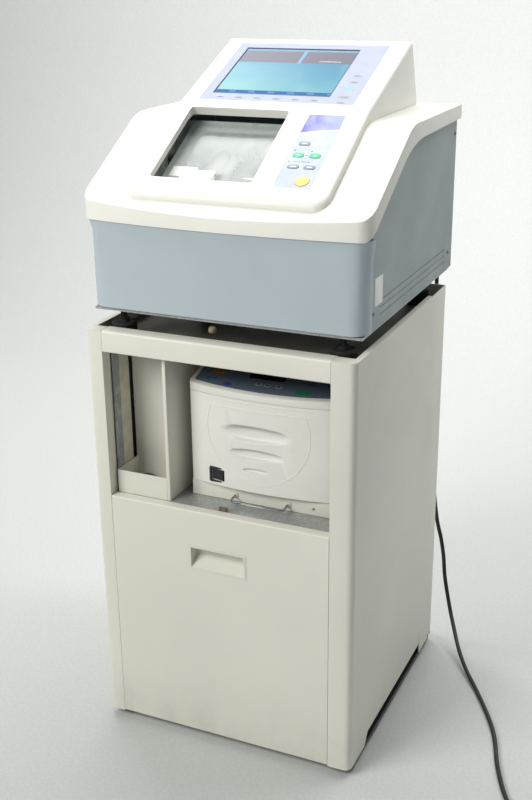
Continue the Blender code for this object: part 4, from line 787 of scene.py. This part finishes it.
def mains_cord():
    """The cord from its gland down to the floor and into a coil beside the cabinet, ending in a plug."""
    shift = Vector((0, FRONT_Y, 0))
    route = [Vector(CORD_EXIT) + shift] + [Vector(p) + shift for p in CORD_ROUTE]
    points = smooth_route(route, 0.008)
    heading = (route[-1] - route[-2]).normalized()
    inner_r, outer_r = COIL_R
    low_z, high_z = COIL_Z
    ring_r = outer_r + CORD_D / 2 + 0.0003
    run = sqrt(ring_r ** 2 - (outer_r - CORD_D / 2) ** 2)
    centre = route[-1] + heading * run + Vector((heading.y, -heading.x, 0)) * outer_r
    entry = pi / 2 - Vector((-heading.y, heading.x)).angle(Vector((0, 1)))
    per_turn = 36
    turns = 3 + (entry + pi / 2) / (2 * pi)
    for k in range(round(turns * per_turn) + 1):
        turned = min(k / per_turn, turns)
        inward = smooth_step(turned, 0.84, 1.0) - smooth_step(turned, 2.50, 2.66)
        raised = smooth_step(turned, 1.67, 1.83)
        r = outer_r - (outer_r - inner_r) * inward
        angle = entry - 2 * pi * turned
        points.append(Vector((centre.x + r * cos(angle), centre.y + r * sin(angle),
                              low_z + (high_z - low_z) * raised)))
    for share in (0.35, 0.7, 1.0):
        rise = (PLUG_Z - high_z) * share
        points.append(Vector((centre.x - PLUG_RUN * share, centre.y - outer_r, high_z + rise)))
    sheath = rubber("cord_sheath", 22, 0.55)
    cord = tube("mains_cord_flex", points, CORD_D / 2, sheath, sides=5)
    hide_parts("mains_cord", "cord_coil")


# ---------------------------------------------------------------- console

def window_details():
    """The rim below the pane, the blank label and finger tab on the pane, and the lens holder's cover."""
    left, right = WINDOW_X
    low, high = WINDOW_S
    outer = round_box(left + 0.0010, low + 0.0005, right - 0.0010, high - 0.0010, 0.010)
    inner = round_box(left + 0.0150, low + 0.0100, right - 0.0080, high - 0.0110, 0.012)
    profile = ((0, -0.0440), (0.04, -0.0400), (0.30, -0.0385), (0.75, -0.0392), (0.96, -0.0410),
               (1, -0.0440))
    frame_plate("window_rim", CONSOLE, outer, inner, profile,
                moulded("rim_plastic", colour(206, 210, 206), 0.35))
    plates("window_label", CONSOLE, [round_box(-0.1340, 0.0540, -0.0890, 0.0782, 0.0015)], -0.0305, -0.0303,
           LABEL, "window", 0.00005)
    tab = round_box(-0.1040, 0.0340, -0.0450, 0.0590, 0.0020)
    plates("window_tab_face", CONSOLE, [tab], -0.0200, -0.0185,
           moulded("tab_plastic", colour(236, 236, 230), 0.40), "window", 0.0004)
    bm = bmesh.new()
    plate_into(bm, CONSOLE, round_box(-0.0900, 0.0950, -0.0440, 0.1440, 0.006), -0.0700, -0.0560, 0.006)
    cover = mesh_object("holder_cover", bm)
    add(cover, moulded("holder_cover_plastic", colour(216, 215, 206), 0.40), "carriage")


def strip_details():
    """Lamps, small printed marks, and the pale centres of the keys."""
    lamps = [(0.0822, 0.0984), (0.1106, 0.0984), (0.0816, 0.0713)]
    domes("strip_lamps", CONSOLE, [(x, s, 0.0011, 0.0011) for x, s in lamps], 0.0006, DARK_PRINT)
    bm = bmesh.new()
    for x, s, w in ((0.0920, 0.0722, 0.0030), (0.0985, 0.0722, 0.0016), (0.1060, 0.0722, 0.0040),
                    (0.1140, 0.0722, 0.0020), (0.1053, 0.0880, 0.0022)):
        mark = round_box(x - w, s - 0.0005, x + w, s + 0.0005, 0.0004, 2)
        plate_into(bm, CONSOLE, mark, PRINT_FOOT, 0.00008, 0.00002)
    add(mesh_object("strip_marks", bm), DARK_PRINT)
    key_marks = (("mode_button", 0.0920, 0.1156, 0.0050, 0.0012),
                 ("left_start_button", 0.0912, 0.0876, 0.0022, 0.0018),
                 ("right_start_button", 0.1194, 0.0876, 0.0022, 0.0018),
                 ("left_select_button", 0.0925, 0.0600, 0.0055, 0.0012),
                 ("right_select_button", 0.1195, 0.0600, 0.0050, 0.0012))
    for body, x, s, half_w, half_l in key_marks:
        domes(body + "_mark", CONSOLE, [(x, s, half_w, half_l)], 0.00015, WHITE_PRINT, body,
              0.0008)
    domes("stop_button_mark", CONSOLE, [(0.1192, 0.0276, 0.0086, 0.0086)], 0.0006,
          film("key_yellow_top", colour(252, 228, 132), 0.4), "stop_button", 0.0008, 2.0)


def display_details():
    """The membrane keys below and beside the screen, and the screen's dark edge."""
    soft = [(x, 0.0265, 0.0078, 0.0030) for x in (-0.1030, -0.0690, -0.0350, 0.0, 0.0340, 0.0680)]
    side = [(0.1160, 0.1090, 0.0085, 0.0032), (0.1160, 0.0880, 0.0085, 0.0032),
            (0.1160, 0.0400, 0.0110, 0.0036), (0.1160, 0.0215, 0.0085, 0.0032)]
    grey = film("membrane_grey", colour(168, 176, 188), 0.4)
    domes("display_soft_keys", DISPLAY, soft + side, 0.0005, grey, power=3)
    domes("display_cyan_key", DISPLAY, [(0.1160, 0.0680, 0.0085, 0.0034)], 0.0005,
          film("membrane_cyan", colour(128, 210, 238), 0.4), power=3)
    bm = bmesh.new()
    for x, s, half_w, _ in soft + side:
        reach = half_w * 0.55
        mark = round_box(x - reach, s - 0.0008, x + reach, s + 0.0006, 0.0005, 2)
        plate_into(bm, DISPLAY, mark, 0.0003, 0.00055, 0.00004)
    add(mesh_object("display_key_marks", bm), DARK_PRINT)
    left, right = SCREEN_X
    low, high = SCREEN_S
    out, within = 0.0014, 0.0006
    outer = round_box(left - out, low - out, right + out, high + out, 0.0012, 3)
    inner = round_box(left + within, low + within, right - within, high - within, 0.0010, 3)
    profile = ((0, -0.0002), (0.08, 0.00012), (0.9, 0.00012), (1, -0.0002))
    frame_plate("screen_edge", DISPLAY, outer, inner, profile,
                film("screen_edge_print", colour(60, 84, 120)))


# ---------------------------------------------------------------- frame tracer

def tracer_front(x, z, out=0.0):
    """A point on the tracer's bowed front, out in front of it by out."""
    off = x - TRACER_MID_X
    return Vector((x, TRACER_NOSE_Y + TRACER_BOW_R - sqrt(TRACER_BOW_R ** 2 - off ** 2) - out, z))


def bow_line(x0, x1, z, out, steps=24):
    return [tracer_front(x0 + (x1 - x0) * k / steps, z, out) for k in range(steps + 1)]


def tracer_details():
    """Ribs and an open ring on the bowed front, the switch's bezel, the keypad, a screw and two bosses."""
    plastic = NODE_LOOKS["tracer_body"]
    for k, z in enumerate(RIBS_Z):
        line = bow_line(*RIBS_X, z, -0.0002)
        tube(f"tracer_rib_{k + 1}", line, 0.0009, plastic, "tracer")
    angles = [radians(RING_START + RING_SWEEP * k / 72) for k in range(73)]
    ring = [tracer_front(RING_X + RING_R * cos(a), RING_Z + RING_R * sin(a), -0.00020) for a in angles]
    tube("tracer_disc_ring", ring, 0.0007, plastic, "tracer")
    front_y = tracer_front(SWITCH_X, SWITCH_Z).y
    bezel = Plane((0, front_y, 0), (1, 0, 0), (0, 0, 1))
    outer = round_box(SWITCH_X - 0.0170, SWITCH_Z - 0.0140, SWITCH_X + 0.0170, SWITCH_Z + 0.0140, 0.0020)
    inner = round_box(SWITCH_X - 0.0123, SWITCH_Z - 0.0102, SWITCH_X + 0.0123, SWITCH_Z + 0.0102, 0.0010)
    profile = ((0, -0.0022), (0.10, 0.0007), (0.85, 0.0007), (1, -0.0022))
    frame_plate("switch_bezel", bezel, outer, inner, profile,
                moulded("bezel_plastic", colour(40, 40, 42), 0.4), "tracer")
    keypad_keys()
    tray_front = Plane((0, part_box("tracer_tray")[0][1], 0), (1, 0, 0), (0, 0, 1))
    screws("tracer_screw", tray_front, [TRAY_SCREW], 0.0028, LOOKS["steel"], "tracer")
    domes("handle_bosses", tray_front, [(x, HANDLE_Z, 0.0062, 0.0062) for x in HANDLE_X], 0.0022,
          moulded("boss_plastic", colour(206, 204, 196), 0.45), "tracer", 0.0, 2.0)


def keypad_keys():
    """The tracer keypad's printed keys, round keys, dark window and dividing lines."""
    base = 0.0003
    orange = film("keypad_orange", colour(196, 132, 26))
    blue = film("keypad_blue", colour(66, 76, 150))
    green = film("keypad_green", colour(28, 132, 96))
    black = film("keypad_window", colour(26, 28, 30), 0.2)
    ring = film("keypad_ring", colour(176, 180, 184))
    height = 0.0004

    def printed(name, spots, look, foot=base, power=2.4):
        domes(name, KEYPAD, spots, height, look, "tracer", foot, power)

    printed("keypad_orange_key", [(-0.0414, 0.0370, 0.0145, 0.0052)], orange)
    spots = [(-0.0520, 0.0165, 0.0042, 0.0034), (-0.0410, 0.0180, 0.0042, 0.0034),
             (-0.0120, 0.0062, 0.0078, 0.0048), (-0.0133, 0.0205, 0.0075, 0.0012),
             (0.0372, 0.0022, 0.0075, 0.0013), (0.1269, 0.0361, 0.0075, 0.0016)]
    printed("keypad_blue_keys", spots, blue)
    printed("keypad_green_key", [(0.1226, 0.0118, 0.0152, 0.0062)], green)
    rounds = [(0.0404, 0.0180), (0.0559, 0.0176), (0.0768, 0.0180)]
    printed("keypad_ring_keys", [(x, s, 0.0062, 0.0046) for x, s in rounds], ring, power=2.0)
    printed("keypad_ring_centres", [(x, s, 0.0044, 0.0032) for x, s in rounds], DARK_PRINT,
            base + 0.0002, 2.0)
    window = round_box(0.0170, 0.0320, 0.0798, 0.0450, 0.0010)
    plates("keypad_window", KEYPAD, [window], base - 0.0002, base + 0.0002, black, "tracer",
           0.00005)
    lines = [round_box(x - 0.0003, 0.0030, x + 0.0003, 0.0300, 0.0002, 2) for x in (0.0058, 0.0870)]
    plates("keypad_lines", KEYPAD, lines, base - 0.0002, base + 0.0001, DARK_PRINT, "tracer",
           0.00002)


# ---------------------------------------------------------------- cabinet and machine sides

def cabinet_details():
    rust = Look("rusty_steel", colour(122, 96, 70), 0.7, 0.4)
    scale = rust.ramp(rust.noise(300, 5, 0.7), 0.35, 0.65)
    rust.set("Base Color", rust.mix(scale, colour(132, 124, 112), colour(84, 64, 48)))
    rust.bump(rust.noise(600, 4), 0.0002)
    top_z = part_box("drawer_front")[1][2]
    catch = slope(0.0190, top_z + 0.0012, radians(80))
    plates("drawer_catch", catch, [round_box(-0.0090, -0.0010, 0.0075, 0.0065, 0.0015)], 0.0, 0.0014, rust,
           edge=0.0003)
    bumper = Plane((0, FRONT_Y + 0.040, 0), (1, 0, 0), (0, 0, 1))
    domes("front_bumper", bumper, [(-0.0210, 0.7755, 0.0070, 0.0060)], 0.0100,
          moulded("bumper_tan", colour(142, 130, 102), 0.6), power=3)


def side_details():
    """Screws and a blank label on the machine's grey sides, screws on its back."""
    head = steel("screw_head", 150, 0.34)
    screws("right_side_screws", RIGHT_SIDE, SIDE_SCREWS, SCREW_R, head)
    screws("left_side_screws", LEFT_SIDE, [(-y, z) for y, z in SIDE_SCREWS], SCREW_R, head)
    rating = round_box(0.0720, 0.8330, 0.1080, 0.8780, 0.0015)
    plates("rating_label", RIGHT_SIDE, [rating], PRINT_FOOT, LABEL_TOP, LABEL,
           edge=LABEL_EDGE)
    back = [(x, z) for x in (-0.215, 0.0, 0.215) for z in (0.815, 1.030)]
    screws("rear_panel_screws", REAR, back, SCREW_R, head)
    rear = round_box(-0.060, 0.900, 0.040, 0.950, 0.002)
    plates("rear_label", REAR, [rear], PRINT_FOOT, LABEL_TOP, LABEL, edge=LABEL_EDGE)
    cabinet = [(x, z) for x in (-0.225, 0.225) for z in (0.06, 0.40, 0.74)]
    screws("cabinet_back_screws", CABINET_BACK, cabinet, 0.0042, head)


# ---------------------------------------------------------------- floor, backdrop and light

def studio():
    floor_look = Look("studio_floor", colour(198, 200, 198), 0.70)
    speck = floor_look.ramp(floor_look.noise(160, 4), 0.35, 0.7)
    floor_look.set("Base Color", floor_look.mix(speck, colour(195, 197, 195), colour(201, 203, 201)))
    bm = bmesh.new()
    bend_y, bend_r = 1.6, 1.2
    profile = [(-4.0, 0.0), (bend_y, 0.0)]
    for k in range(1, 9):
        turn = radians(90 * k / 8)
        profile.append((bend_y + bend_r * sin(turn), bend_r - bend_r * cos(turn)))
    profile.append((bend_y + bend_r, 4.5))
    rows = [[bm.verts.new((x, y, z)) for x in (-6, 6)] for y, z in profile]
    for a, b in zip(rows, rows[1:]):
        bm.faces.new((a[0], a[1], b[1], b[0]))
    sweep = mesh_object("studio_sweep", bm)
    sweep.data.materials.append(floor_look.material)
    bpy.context.collection.objects.link(sweep)


def lamp(name, place, target, size, power, tint=(1, 1, 1)):
    data = bpy.data.lights.new(name, "AREA")
    data.shape = "RECTANGLE"
    data.size, data.size_y = size
    data.energy = power
    data.color = tint
    obj = bpy.data.objects.new(name, data)
    obj.location = place
    obj.rotation_euler = (Vector(target) - Vector(place)).to_track_quat("-Z", "Y").to_euler()
    bpy.context.collection.objects.link(obj)


def light():
    world = bpy.data.worlds.new("studio")
    world.use_nodes = True
    world.node_tree.nodes["Background"].inputs[0].default_value = (0.92, 0.96, 1.0, 1)
    world.node_tree.nodes["Background"].inputs[1].default_value = 0.20
    bpy.context.scene.world = world
    bpy.context.scene.view_settings.view_transform = "Standard"
    lamp("key", (-1.5, -2.6, 2.6), (0, 0, 0.7), (1.8, 1.4), 97, (1.0, 0.99, 0.96))
    lamp("top", (0.1, 0.2, 3.2), (0, 0, 0.9), (2.2, 1.8), 5)
    lamp("fill", (2.6, -1.6, 1.6), (0, 0, 0.6), (1.6, 1.6), 1.5, (0.95, 0.98, 1.0))
    lamp("backdrop", (0, 0.9, 3.4), (0, 2.8, 1.2), (4.0, 0.8), 150)


camera()
mains_cord()
dress_cad()
window_details()
strip_details()
display_details()
tracer_details()
cabinet_details()
side_details()
studio()
light()
